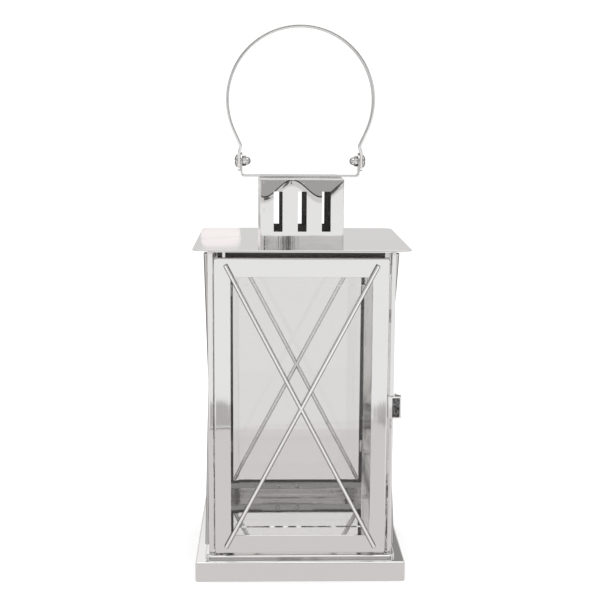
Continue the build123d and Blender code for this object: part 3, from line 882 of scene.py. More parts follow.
@dataclass
class Walls:
    """Left, right and back walls: window frames with folded edges."""

    finishes: Finishes
    sheet: float = 0.8 * MM
    fold: float = 1.2 * MM
    lap: float = 3.0 * MM
    flange: float = 6.0 * MM
    corner: float = 0.6 * MM
    rail_lip: float = 2.0 * MM

    def wall(self, node: str, glass: str, plane: Pose2D, span: tuple[float, float],
             front_lip: float, back_fold: bool) -> None:
        """Make one wall.

        Args:
            node: The wall's node.
            glass: The pane behind its window, which gives the window's size.
            plane: The wall's outer face; `along` runs to the left-hand side seen from outside.
            span: The wall's lowest and highest `along`.
            front_lip: Depth of the lip at the lowest `along`.
            back_fold: Whether the other edge is folded too.
        """
        low, high = node_box(node)
        pane_low, pane_high = node_box(glass)
        pane_half = max(pane_high[0] - pane_low[0], pane_high[1] - pane_low[1]) / 2
        window = Window((0.0, (pane_low[2] + pane_high[2]) / 2),
                        (pane_half - self.lap, (pane_high[2] - pane_low[2]) / 2 - self.lap), self.corner)
        middle = (span[0] + span[1]) / 2
        edge = Window((middle, (low[2] + high[2]) / 2), ((span[1] - span[0]) / 2, (high[2] - low[2]) / 2),
                      self.corner)

        def depth(along: Array, up: Array) -> Array:
            """Flange depth: the lips at the sides, mitred flanges at top and bottom.

            Args:
                along: Distance along the wall.
                up: Height.

            Returns:
                How deep the fold is at each place.
            """
            from_side = np.minimum(along - span[0], span[1] - along)
            from_end = np.minimum(up - low[2], high[2] - up)
            mitre = np.clip(from_side, 0.0, self.flange)
            front = along < middle
            side = np.where(front, front_lip, self.flange if back_fold else 0.0)
            return np.where(from_end < from_side, mitre, side)

        surface = framed_sheet(window, edge, plane, self.sheet, self.fold, depth)
        surface.finish(f"{node}_sheet", self.finishes.panel, Body.LANTERN, Slot.SHEET, [node])

    def build(self) -> None:
        """Make the three walls."""
        left_low, left_high = node_box("left_panel")
        right_high = node_box("right_panel")[1]
        back_low, back_high = node_box("back_panel")
        door_low, door_high = node_box("door_frame")
        depth_span = (left_low[1], left_high[1])
        left_lip = door_low[0] - left_low[0] - 0.7 * MM
        right_lip = right_high[0] - door_high[0] - 1.5 * MM
        left = Pose2D((left_low[0], 0, 0), (0, 1, 0), (0, 0, 1), (-1, 0, 0))
        right = Pose2D((right_high[0], 0, 0), (0, 1, 0), (0, 0, 1), (1, 0, 0))
        back = Pose2D((0, back_high[1], 0), (1, 0, 0), (0, 0, 1), (0, 1, 0))
        self.wall("left_panel", "left_glass", left, depth_span, left_lip, False)
        self.wall("right_panel", "right_glass", right, depth_span, right_lip, False)
        self.wall("back_panel", "back_glass", back, (back_low[0], back_high[0]), self.flange, True)
        self.front_rail()

    def front_rail(self) -> None:
        """Make the rail above the door: a bright lip and shelf, and the stop behind the door, dark with
        painted shade.
        """
        low, high = node_box("front_top_rail")
        door_low, door_high = node_box("door_frame")
        post = 0.7 * MM
        lip_bottom = high[2] - self.rail_lip
        back_width = high[0] - self.flange
        pieces = (
            ("front_top_rail_lip", self.finishes.panel,
             (door_low[0] - post, low[1], lip_bottom),
             (door_high[0] + 2 * post, low[1] + self.sheet, high[2])),
            ("front_top_rail_shelf", self.finishes.panel,
             (-back_width, low[1] + self.sheet, high[2] - self.sheet), (back_width, high[1], high[2])),
            # The stop is dark steel: painted shade for the gap above the door.
            ("front_top_rail_stop", self.finishes.sooty,
             (-back_width, high[1] - self.sheet, low[2]), (back_width, high[1], high[2] - self.sheet)),
        )
        for name, material, start, end in pieces:
            start, end = np.array(start), np.array(end)
            size, middle = end - start, (start + end) / 2
            edge = 0.1 * MM
            profile = rounded_path([(-0.3 * MM, 0), (0, 0), (0, size[2]), (-0.3 * MM, size[2])],
                                   [0, edge, edge, 0], 3, support=0.05 * MM)
            plane = Pose2D((middle[0], middle[1], start[2]), (1, 0, 0), (0, 1, 0), (0, 0, 1))
            surface = slab(size[0] / 2, size[1] / 2, 0.15 * MM, profile, plane, 3)
            surface.finish(name, material, Body.LANTERN, Slot.SHEET, ["front_top_rail"])


@dataclass
class Roof:
    """Flat roof plate with rounded corners and an opening under the chimney."""

    finishes: Finishes
    corner: float = 8.0 * MM
    flue_half: float = 27.4 * MM
    edge: float = 0.4 * MM

    def build(self) -> None:
        """Make the plate: its section blends from the flue's edge to the outer edge."""
        low, high = node_box("roof_plate")
        half, thick = (high[0] - low[0]) / 2, high[2] - low[2]
        plane = Pose2D((0, 0, high[2]), (1, 0, 0), (0, 1, 0), (0, 0, 1))
        reach = half - self.flue_half
        profile = rounded_path([(-reach, 0.0), (0.0, 0.0), (0.0, -thick), (-reach, -thick)],
                               [0, self.edge, self.edge, 0], 4, support=0.15 * MM)
        radius = np.where(profile[:, 0] < -reach / 2, 1.0 * MM, self.corner + profile[:, 0])
        loops = ring(half + profile[:, 0], half + profile[:, 0], radius, 8)
        block = plane.place(loops[..., 0], loops[..., 1],
                            np.broadcast_to(profile[:, 1][:, None], loops.shape[:2]))
        surface = Surface()
        surface.add_grid(block, wrap_u=True, wrap_v=True)
        surface.finish("roof_plate_sheet", self.finishes.roof, Body.LANTERN, Slot.SHEET, ["roof_plate"])


@dataclass
class Chimney:
    """Square tube with three vent slots in every face, its cap and its weld marks."""

    finishes: Finishes
    sheet: float = 0.8 * MM
    corner: float = 1.6 * MM
    slot_width: float = 6.8 * MM
    slot_height: float = 30.8 * MM
    slot_pitch: float = 18.5 * MM
    slot_rise: float = 8.5 * MM
    corner_steps: int = 5
    weld_radius: float = 0.9 * MM
    skew: float = 0.033

    def face_stations(self, half: float) -> Array:
        """Places across one flat face: its two ends, the slots' edges and points between them.

        Args:
            half: Half width of the flat part.

        Returns:
            Sorted distances from the face's middle.
        """
        centres = self.slot_pitch * np.array([-1.0, 0.0, 1.0])
        edges = np.sort(np.concatenate([centres - self.slot_width / 2, centres + self.slot_width / 2]))
        marks = np.concatenate([[-half], edges, [half]])
        fine = [np.linspace(a, b, 5)[:-1] for a, b in zip(marks[:-1], marks[1:])]
        return np.concatenate([*fine, [half]])

    def wall_loop(self, half: float, corner: float) -> tuple[Array, Array]:
        """Points round the tube and, for each gap between neighbours, whether a slot crosses it.

        Args:
            half: Half width of the tube.
            corner: Radius of its corners.

        Returns:
            Points of shape (n, 2), and slot flags of shape (n,).
        """
        flat = self.face_stations((half if corner > self.corner - 1e-9 else half + self.sheet) - self.corner)
        arc = np.linspace(0.0, QUARTER, self.corner_steps + 1)[1:-1] - QUARTER
        centre = half - corner
        loops, flags = [], []
        for k in range(4):
            turn = k * QUARTER
            cos, sin = np.cos(turn), np.sin(turn)
            face = np.stack([flat, np.full_like(flat, -half)], -1)
            bend = np.stack([centre + corner * np.cos(arc), -centre + corner * np.sin(arc)], -1)
            part = np.concatenate([face, bend]) @ np.array([[cos, sin], [-sin, cos]])
            middle = np.abs((flat[:-1] + flat[1:]) / 2)
            near = np.minimum(middle, np.abs(middle - self.slot_pitch))
            flags.append(np.concatenate([near < self.slot_width / 2, np.zeros(len(bend) + 1, dtype=bool)]))
            loops.append(part)
        return np.concatenate(loops), np.concatenate(flags)

    def build_shell(self) -> None:
        """Make the tube: outer and inner skins on one grid, slot cells left out, edges joined."""
        low, high = node_box("chimney_shell")
        half = (high[0] - low[0]) / 2
        outer, slotted = self.wall_loop(half, self.corner)
        inner = self.wall_loop(half - self.sheet, self.corner - self.sheet)[0]
        slot_low = low[2] + self.slot_rise
        marks = np.array([low[2], slot_low, slot_low + self.slot_height, high[2]])
        runs = [np.linspace(a, b, 17)[:-1] for a, b in zip(marks[:-1], marks[1:])]
        levels = np.concatenate(runs + [[high[2]]])
        middle = (levels[:-1] + levels[1:]) / 2
        in_band = (middle > slot_low) & (middle < slot_low + self.slot_height)
        hole = in_band[:, None] & slotted[None, :]
        rows, columns = len(levels), len(outer)
        blocks = []
        for loop in (outer, inner):
            block = np.empty((rows, columns, 3))
            block[..., :2] = loop[None]
            block[..., 2] = levels[:, None]
            blocks.append(block)
        surface = Surface()
        base_out = surface.add_points(blocks[0])
        base_in = surface.add_points(blocks[1])
        index = np.arange(rows * columns).reshape(rows, columns)
        right = np.roll(index, -1, axis=1)
        solid = ~hole
        a, b, c, d = index[:-1][solid], right[:-1][solid], right[1:][solid], index[1:][solid]
        surface.faces.extend((np.stack([a, b, c, d], -1) + base_out).tolist())
        # The inner skin is dark: painted shade inside the tube.
        lining = (self.finishes.sooty, len(surface.faces), 2 * len(surface.faces))
        surface.faces.extend((np.stack([a, d, c, b], -1) + base_in).tolist())
        for first, second, wall in self.rims(index, right, solid):
            pick = np.stack([first[wall] + base_out, first[wall] + base_in,
                             second[wall] + base_in, second[wall] + base_out], -1)
            surface.faces.extend(pick.tolist())
        surface.turn(self.skew)
        surface.finish("chimney_shell_sheet", self.finishes.chimney, Body.LANTERN, Slot.SHEET,
                       ["chimney_shell"], lining)

    def rims(self, index: Array, right: Array, solid: Array) -> list[tuple[Array, Array, Array]]:
        """Edges where a solid cell meets a missing one, as pairs of vertices.

        A cell's lower edge is a rim where the cell below is missing, and so on for its other three
        edges; each pair runs so that the joining face looks into the gap.

        Args:
            index: Vertex numbers of the grid.
            right: Vertex numbers of the next column.
            solid: Which cells are metal.

        Returns:
            For each of the four edge directions: first vertices, second vertices and the mask.
        """
        none = np.zeros((1, solid.shape[1]), dtype=bool)
        below = np.concatenate([none, solid[:-1]])
        above = np.concatenate([solid[1:], none])
        before = np.roll(solid, 1, axis=1)
        after = np.roll(solid, -1, axis=1)
        return [
            (right[:-1], index[:-1], solid & ~below),
            (index[1:], right[1:], solid & ~above),
            (index[:-1], index[1:], solid & ~before),
            (right[1:], right[:-1], solid & ~after),
        ]

    def build_cap(self) -> None:
        """Make the flat cap on top of the tube."""
        low, high = node_box("chimney_cap")
        plane = Pose2D((0, 0, low[2]), (1, 0, 0), (0, 1, 0), (0, 0, 1))
        half, thick = (high[0] - low[0]) / 2, high[2] - low[2]
        profile = rounded_path([(-9 * MM, 0), (0, 0), (0, thick), (-9 * MM, thick)],
                               [0, 0.25 * MM, 0.3 * MM, 0], 4, support=0.15 * MM)
        surface = slab(half, half, self.corner, profile, plane)
        surface.turn(self.skew)
        surface.finish("chimney_cap_sheet", self.finishes.panel, Body.LANTERN, Slot.SHEET, ["chimney_cap"])

    def build_welds(self) -> None:
        """Make the small round weld marks near the front face's left edge."""
        low, high = node_box("chimney_shell")
        face = low[1]
        spots = ((low[0] + 2.6 * MM, high[2] - 2.0 * MM),
                 (low[0] + 2.9 * MM, (low[2] + high[2]) / 2 + 1.5 * MM),
                 (low[0] + 2.9 * MM, low[2] + 3.0 * MM), (1.0 * MM, high[2] - 2.2 * MM))
        share = np.linspace(0.0, 1.0, 6)
        dome = np.stack([0.28 * MM * np.cos(QUARTER * share) - 0.2 * MM,
                         self.weld_radius * np.sin(QUARTER * share)], -1)
        dome[0, 1] = 0.02 * MM
        whole = Surface()
        for x, z in spots:
            mark = turned(dome, np.array([x, face, z]), np.array([0.0, -1.0, 0.0]), 20)
            base = whole.add_points(mark.points[0])
            whole.faces.extend([[v + base for v in one] for one in mark.faces])
        whole.turn(self.skew)
        whole.finish("chimney_weld_marks", self.finishes.chimney, Body.LANTERN, Slot.SHEET)

    def build(self) -> None:
        """Make the shell, the cap and the weld marks."""
        self.build_shell()
        self.build_cap()
        self.build_welds()


@dataclass
class Door:
    """Door frame and its spring clasp."""

    finishes: Finishes
    sheet: float = 0.8 * MM
    fold: float = 1.2 * MM
    lap: float = 3.0 * MM
    corner: float = 1.4 * MM
    clasp_sheet: float = 0.8 * MM
    clasp_bend: float = 1.4 * MM

    def build_frame(self) -> None:
        """Make the frame, folded back all round."""
        low, high = node_box("door_frame")
        pane_low, pane_high = node_box("door_glass")
        centre = ((low[0] + high[0]) / 2, (low[2] + high[2]) / 2)
        window = Window(centre, ((pane_high[0] - pane_low[0]) / 2 - self.lap,
                                 (pane_high[2] - pane_low[2]) / 2 - self.lap), 0.5 * MM)
        edge = Window(centre, ((high[0] - low[0]) / 2, (high[2] - low[2]) / 2), self.corner)
        plane = Pose2D((0, low[1], 0), (1, 0, 0), (0, 0, 1), (0, -1, 0))
        depth = high[1] - low[1]
        surface = framed_sheet(window, edge, plane, self.sheet, self.fold,
                               lambda along, up: np.full_like(along, depth))
        surface.finish("door_frame_sheet", self.finishes.panel, Body.DOOR, Slot.SHEET, ["door_frame"])

    def build_clasp(self) -> None:
        """Make the spring strip that reaches from the door's edge round the post."""
        low, high = node_box("door_clasp")
        door_low, door_high = node_box("door_frame")
        half = self.clasp_sheet / 2
        front, back = -low[1], -high[1]
        foot, side = door_high[0] + half, high[0] - half
        leaf = front - half
        tip = (foot + side) / 2 + 0.55 * MM
        path = rounded_path([(foot, -door_high[1] + self.sheet), (foot, leaf), (side, leaf),
                             (side, -door_low[1] - 4.2 * MM), (tip, -door_low[1] - 8.4 * MM),
                             (tip + 1.6 * MM, back + 0.4 * MM)], self.clasp_bend, 6, support=0.2 * MM)
        plane = Pose2D((0, 0, (low[2] + high[2]) / 2), (1, 0, 0), (0, 0, 1), (0, -1, 0))
        surface = strip(path, high[2] - low[2], self.clasp_sheet, 0.25 * MM, plane)
        surface.finish("door_clasp_strip", self.finishes.spring, Body.DOOR, Slot.SHEET, ["door_clasp"])

    def build(self) -> None:
        """Make the frame and the clasp."""
        self.build_frame()
        self.build_clasp()


@dataclass
class Glazing:
    """Four flat panes with softened edges."""

    finishes: Finishes
    edge: float = 0.3 * MM

    def pane(self, name: str, body: Body) -> None:
        """Make one pane in the place of its node.

        Args:
            name: The node that it replaces.
            body: The body that it rides.
        """
        low, high = node_box(name)
        size = high - low
        thick = min(size[0], size[1])
        middle = (low + high) / 2
        if size[1] < size[0]:
            plane = Pose2D((middle[0], low[1], middle[2]), (1, 0, 0), (0, 0, 1), (0, 1, 0))
        else:
            plane = Pose2D((low[0], middle[1], middle[2]), (0, 1, 0), (0, 0, 1), (1, 0, 0))
        profile = rounded_path([(-9 * MM, 0), (0, 0), (0, thick), (-9 * MM, thick)],
                               [0, self.edge, self.edge, 0], 3, support=0.15 * MM)
        surface = slab(max(size[0], size[1]) / 2, size[2] / 2, 0.8 * MM, profile, plane, 3)
        surface.finish(f"{name}_pane", self.finishes.glass, body, Slot.GLASS, [name])

    def build(self) -> None:
        """Make the panes."""
        for name in ("left_glass", "right_glass", "back_glass"):
            self.pane(name, Body.LANTERN)
        self.pane("door_glass", Body.DOOR)


@dataclass
class Rods:
    """Crossed round rods on every side: one whole, one in two halves that meet it."""

    finishes: Finishes
    radius: float = 1.65 * MM
    end_round: float = 0.5 * MM
    sides: int = 28

    def rod(self, name: str, start: Array, end: Array, body: Body, node: str) -> None:
        """Make one straight rod with softened ends.

        Args:
            name: The piece's name.
            start: Centre of one end.
            end: Centre of the other end.
            body: The body that it rides on.
            node: The node that it stands for.
        """
        axis = end - start
        length = np.linalg.norm(axis)
        profile = rounded_path([(0, 0.2 * self.radius), (0, self.radius), (length, self.radius),
                                (length, 0.2 * self.radius)], [0, self.end_round, self.end_round, 0], 4,
                               support=0.1 * MM)
        surface = turned(profile, start, axis, self.sides)
        surface.finish(name, self.finishes.rod, body, Slot.ROD, [node])

    def crossing(self, side: str, along: int, across: int, body: Body, turn: float) -> None:
        """Make the three rods of one side.

        The long rod's box is inset by the radius times the sine and cosine of its slope to find its
        end centres; the other diagonal is its mirror image, stopped at the long rod.

        Args:
            side: Name of the side.
            along: Axis number that runs along the side.
            across: Axis number of the side's normal.
            body: The body that they ride on.
            turn: +1 where the long rod falls towards higher `along`, -1 where it rises.
        """
        low, high = node_box(f"{side}_long_rod")
        size = high - low
        slope = np.arctan2(size[along], size[2])
        inset = self.radius * np.array([np.cos(slope), np.sin(slope)])
        ends = np.zeros((2, 3))
        ends[:, across] = (low[across] + high[across]) / 2
        ends[:, 2] = high[2] - inset[1], low[2] + inset[1]
        reach = low[along] + inset[0], high[along] - inset[0]
        ends[:, along] = reach if turn > 0 else reach[::-1]
        self.rod(f"{side}_rod_whole", ends[0], ends[1], body, f"{side}_long_rod")
        other = ends.copy()
        other[:, along] = ends[::-1, along]
        middle = (other[0] + other[1]) / 2
        for half, end in (("upper", other[0]), ("lower", other[1])):
            self.rod(f"{side}_rod_{half}_half", end, middle, body, f"{side}_half_rods")

    def build(self) -> None:
        """Make the rods of all four sides."""
        self.crossing("door", 0, 1, Body.DOOR, 1.0)
        self.crossing("back", 0, 1, Body.LANTERN, -1.0)
        self.crossing("left", 1, 0, Body.LANTERN, -1.0)
        self.crossing("right", 1, 0, Body.LANTERN, 1.0)


@dataclass
class Handle:
    """Bracket with two ears, pivot screws, acorn nuts and the strap loop."""

    finishes: Finishes
    bracket_sheet: float = 1.2 * MM
    bracket_bend: float = 2.4 * MM
    ear_radius: float = 6.5 * MM
    strap_thickness: float = 2.0 * MM
    loop_radius: float = 58.0 * MM
    neck_bend: float = 4.0 * MM
    neck_rise: float = 11.5 * MM
    neck_draw: float = 1.5 * MM
    shoulder_bend: float = 8.0 * MM
    nut_flats: float = 7.0 * MM
    nut_hex: float = 3.0 * MM

    def build_bracket(self) -> None:
        """Make the bracket: a wide strap whose turned-up ends taper to round ears."""
        low, high = node_box("handle_bracket")
        half = self.bracket_sheet / 2
        top, floor, side = high[2], low[2] + half, high[0] - half
        path = rounded_path([(-side, top), (-side, floor), (side, floor), (side, top)],
                            [0, self.bracket_bend, self.bracket_bend, 0], 7, support=0.3 * MM)
        rise = np.linspace(top, floor + 4 * MM, 26)
        ear_left = np.stack([np.full_like(rise, -side), rise], -1)
        ear_right = np.stack([np.full_like(rise, side), rise[::-1]], -1)
        path = np.concatenate([ear_left, path[1:-1], ear_right])
        whole = np.linalg.norm(np.diff(path, axis=0), axis=1).sum()
        full = high[1] - low[1]
        pivot = top - self.ear_radius

        def width(travelled: Array) -> Array:
            """Round above the pivot, then a straight taper out to the strap's full width.

            Args:
                travelled: Distance along the strap from its first end.

            Returns:
                The width there: a circle's chord above the pivot, a straight ramp below it.
            """
            down = np.minimum(travelled, whole - travelled)
            height = top - down - pivot
            above = np.clip(height, 0, None)
            round_part = 2 * np.sqrt(np.clip(self.ear_radius ** 2 - above ** 2, 1e-9, None))
            share = np.clip(-height / (pivot - floor - 3 * MM), 0.0, 1.0)
            flare = 2 * self.ear_radius + share * (full - 2 * self.ear_radius)
            return np.where(height > 0, round_part, flare)

        plane = Pose2D((0, 0, 0), (1, 0, 0), (0, 1, 0), (0, 0, 1))
        surface = strip(path, width, self.bracket_sheet, 0.35 * MM, plane)
        surface.finish("handle_bracket_strap", self.finishes.strap, Body.LANTERN, Slot.SHEET,
                       ["handle_bracket"])

    def build_loop(self) -> None:
        """Make the strap loop: straight ends, a short bend at each neck and one long arc."""
        low, high = node_box("handle_strap")
        half = self.strap_thickness / 2
        screw_low, screw_high = node_box("right_pivot_screw")
        pivot = (screw_low[2] + screw_high[2]) / 2
        radius = self.loop_radius - half
        centre = high[2] - self.loop_radius
        ear = node_box("handle_bracket")[1][0]
        side = ear + 0.25 * MM + half
        neck = np.array([side - self.neck_draw, pivot + self.neck_rise])
        shoulder = node_box("handle_bracket")[1][2] + 0.25 * MM
        arm = neck - np.array([0.0, centre])
        start = np.arctan2(arm[1], arm[0]) + np.arccos(radius / np.linalg.norm(arm))
        sweep = np.linspace(start, np.pi - start, 150)
        arc = np.stack([radius * np.cos(sweep), centre + radius * np.sin(sweep)], -1)
        right = rounded_path([(side, low[2]), (side, shoulder), tuple(neck), tuple(arc[0])],
                             [0, self.shoulder_bend, self.neck_bend, 0], 6)
        tail_z = np.linspace(low[2], right[1, 1], 26)[:-1]
        tail = np.stack([np.full_like(tail_z, side), tail_z], -1)
        right = np.concatenate([tail, right[1:-1]])
        left = right[::-1] * np.array([-1.0, 1.0])
        path = np.concatenate([right, arc, left])
        whole = np.linalg.norm(np.diff(path, axis=0), axis=1).sum()
        full = high[1] - low[1]

        def width(travelled: Array) -> Array:
            """Full width, drawn in to half circles at the ends."""
            near = np.clip(np.minimum(travelled, whole - travelled), 0, full / 2)
            return 2 * np.sqrt(np.clip((full / 2) ** 2 - (full / 2 - near) ** 2, (0.1 * MM) ** 2, None))

        plane = Pose2D((0, 0, 0), (1, 0, 0), (0, 1, 0), (0, 0, 1))
        surface = strip(path, width, self.strap_thickness, 0.4 * MM, plane)
        surface.finish("handle_loop_strap", self.finishes.strap, Body.HANDLE, Slot.SHEET, ["handle_strap"])
        log.info("handle turns about a line %.1f mm above the base", pivot / MM)

    def build_screw(self, side: str, sign: float) -> None:
        """Make one truss-head screw: a shallow dome with a cross recess on a plain shank.

        Args:
            side: Which side of the handle.
            sign: -1 for the left side, 1 for the right.
        """
        low, high = node_box(f"{side}_pivot_screw")
        middle = (low + high) / 2
        length, head = high[0] - low[0], (high[1] - low[1]) / 2
        rise, rim, shank_radius = 2.3 * MM, 0.15 * MM, 2.0 * MM
        outer = np.array([high[0] if sign > 0 else low[0], middle[1], middle[2]])
        arc = np.linspace(0.0, 1.0, 22)
        dome = np.stack([rise * (1 - np.sqrt(1 - (arc * 0.985) ** 2)) * 0.92, head * arc], -1)
        dome[0, 1] = 0.02 * MM
        shank = np.array([[rise - rim, head], [rise, head - rim], [rise, shank_radius],
                          [length - 0.4 * MM, shank_radius], [length, 1.6 * MM]])
        surface = turned(np.concatenate([dome, shank]), outer, np.array([-sign, 0.0, 0.0]), 64)
        points = surface.points[0]
        across = np.abs(points[:, 1] - middle[1]), np.abs(points[:, 2] - middle[2])
        depth = (points[:, 0] - outer[0]) * -sign
        arm, arm_half_width = 2.4 * MM, 0.55 * MM
        slot = np.minimum(np.maximum(across[0] / arm, across[1] / arm_half_width),
                          np.maximum(across[1] / arm, across[0] / arm_half_width))
        cut = np.clip(1.35 - slot, 0.0, 0.5) * 2 * 0.8 * MM * (depth < rise * 0.8)
        points[:, 0] -= sign * cut
        surface.finish(f"{side}_screw_head", self.finishes.fastener, Body.LANTERN, Slot.FASTENER,
                       [f"{side}_pivot_screw"])

    def build_nut(self, side: str, sign: float) -> None:
        """Make one acorn nut: chamfered hexagon, short neck and a dome.

        Args:
            side: Which side of the handle.
            sign: -1 for the left side, 1 for the right.
        """
        low, high = node_box(f"{side}_acorn_nut")
        middle = (low + high) / 2
        length = high[0] - low[0]
        inner = np.array([high[0] if sign > 0 else low[0], middle[1], middle[2]])
        corner = self.nut_flats / np.sqrt(3)
        dome_radius, chamfer, neck = 3.1 * MM, 0.35 * MM, 0.4 * MM
        hexagon = np.array([[0.0, 2.4 * MM], [0.0, self.nut_flats / 2 * 0.97], [chamfer, corner],
                            [self.nut_hex - chamfer, corner], [self.nut_hex, self.nut_flats / 2 * 0.96],
                            [self.nut_hex, dome_radius + 0.1 * MM], [self.nut_hex + neck, dome_radius]])
        share = np.linspace(0.1, 1.0, 12)
        rise = length - self.nut_hex - neck
        dome = np.stack([self.nut_hex + neck + rise * np.sin(QUARTER * share),
                         dome_radius * np.cos(QUARTER * share) + 0.02 * MM], -1)

        def facets(along: Array, angle: Array, radius: Array) -> Array:
            """The smaller of the turned radius and a hexagon's radius, along the hexagon only.

            Args:
                along: Distance from the nut's inner face.
                angle: Angle about its axis.
                radius: The turned radius.

            Returns:
                The radius with the flats cut.
            """
            turn = np.mod(angle, np.pi / 3) - np.pi / 6
            flat = self.nut_flats / 2 / np.cos(turn)
            return np.where(along <= self.nut_hex + 1e-9, np.minimum(radius, flat), radius)

        surface = turned(np.concatenate([hexagon, dome]), inner, np.array([-sign, 0.0, 0.0]), 72, facets)
        surface.finish(f"{side}_nut", self.finishes.fastener, Body.LANTERN, Slot.FASTENER,
                       [f"{side}_acorn_nut"])

    def build(self) -> None:
        """Make the bracket, the loop and both pivots."""
        self.build_bracket()
        self.build_loop()
        for side, sign in (("left", -1.0), ("right", 1.0)):
            self.build_screw(side, sign)
            self.build_nut(side, sign)


@dataclass
class Ledge:
    """Ledge under the back pane with its two round-headed rivets, and the beaded rail it sits on."""

    finishes: Finishes

    def bar(self, name: str, span: tuple[float, float], section: Array, stands_for: Sequence[str],
            material: bpy.types.Material) -> None:
        """Make a straight bar across the lantern.

        Its skin is the section's outline, with a point close to each side of every corner so that
        the flats stay flat, repeated at both ends and closed there.

        Args:
            name: The bar's name.
            span: Its lowest and highest x.
            section: Its outline in (y, z), in order.
            stands_for: Nodes that it replaces.
            material: Its finish.
        """
        ahead = np.roll(section, -1, axis=0) - section
        step = ahead / np.linalg.norm(ahead, axis=1)[:, None] * 0.04 * MM
        outline = np.stack([section - np.roll(step, 1, axis=0), section + step], 1).reshape(-1, 2)
        block = np.empty((2, len(outline), 3))
        block[..., 0] = np.array(span)[:, None]
        block[..., 1:] = outline
        surface = Surface()
        surface.add_grid(block, wrap_v=True)
        surface.cap(np.arange(len(outline)))
        surface.cap(len(outline) + np.arange(len(outline)))
        surface.finish(name, material, Body.LANTERN, Slot.SHEET, stands_for)

    def build(self) -> None:
        """Make the ledge bar and the rivets."""
        low, high = node_box("back_glass_ledge")
        self.bar("back_ledge_bar", (low[0], high[0]), np.array([
            [low[1], low[2]], [low[1], high[2]], [high[1], high[2]], [high[1], low[2]]]),
            ["back_glass_ledge"], self.finishes.satin)
        pane_low, pane_high = node_box("back_glass")
        face, foot, top = high[1], node_box("floor_pan")[1][2] + 0.1 * MM, pane_low[2] - 0.1 * MM
        band = top - 4.6 * MM
        reach = (pane_high[0] - pane_low[0]) / 2
        self.bar("back_rail_bead", (-reach, reach), np.array([
            [face - 0.5 * MM, band], [face - 0.4 * MM, top],
            [face + 0.1 * MM, top], [face + 0.1 * MM, band]]),
            [], self.finishes.satin)
        self.bar("back_rail_foot", (-reach, reach), np.array([
            [face - 0.7 * MM, foot], [face - 0.5 * MM, foot + 1.6 * MM], [face - 0.5 * MM, foot + 3.4 * MM],
            [face - 0.3 * MM, foot + 4.8 * MM], [face - 0.3 * MM, band - 0.2 * MM],
            [face + 0.1 * MM, band - 0.2 * MM], [face + 0.1 * MM, foot]]), [], self.finishes.panel)
        rivet_low, rivet_high = node_box("ledge_rivets")
        radius = (rivet_high[2] - rivet_low[2]) / 2
        whole = Surface()
        share = np.linspace(0.0, 1.0, 9)
        length = rivet_high[1] - rivet_low[1]
        head = np.stack([0.8 * MM * (1 - np.cos(QUARTER * share)), radius * np.sin(QUARTER * share)], -1)
        head[0, 1] = 0.02 * MM
        tail = np.stack([length - head[::-1, 0], head[::-1, 1]], -1)
        shank = np.array([[0.8 * MM, 0.6 * radius], [length - 0.8 * MM, 0.6 * radius]])
        profile = np.concatenate([head, shank, tail])
        for x in (rivet_low[0] + radius, rivet_high[0] - radius):
            start = np.array([x, rivet_low[1], (rivet_low[2] + rivet_high[2]) / 2])
            rivet = turned(profile, start, np.array([0.0, 1.0, 0.0]), 28)
            base = whole.add_points(rivet.points[0])
            whole.faces.extend([[v + base for v in one] for one in rivet.faces])
        whole.finish("back_ledge_rivets", self.finishes.fastener, Body.LANTERN, Slot.FASTENER,
                     ["ledge_rivets"])


@dataclass
class KeptNodes:
    """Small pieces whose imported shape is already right, dressed in their finishes."""

    finishes: Finishes

    def build(self) -> None:
        """Give each kept node its material."""
        for name, material in (("top_hinge_pin", self.finishes.fastener),
                               ("bottom_hinge_pin", self.finishes.fastener),
                               ("left_glass_tabs", self.finishes.panel),
                               ("right_glass_tabs", self.finishes.panel),
                               ("back_glass_tabs", self.finishes.panel),
                               ("door_glass_tabs", self.finishes.panel)):
            node = frame_nodes[name]
            node.data.materials.clear()
            node.data.materials.append(material)
            log.info("%s keeps its shape", name)


# Studio -------------------------------------------------------------------------------------


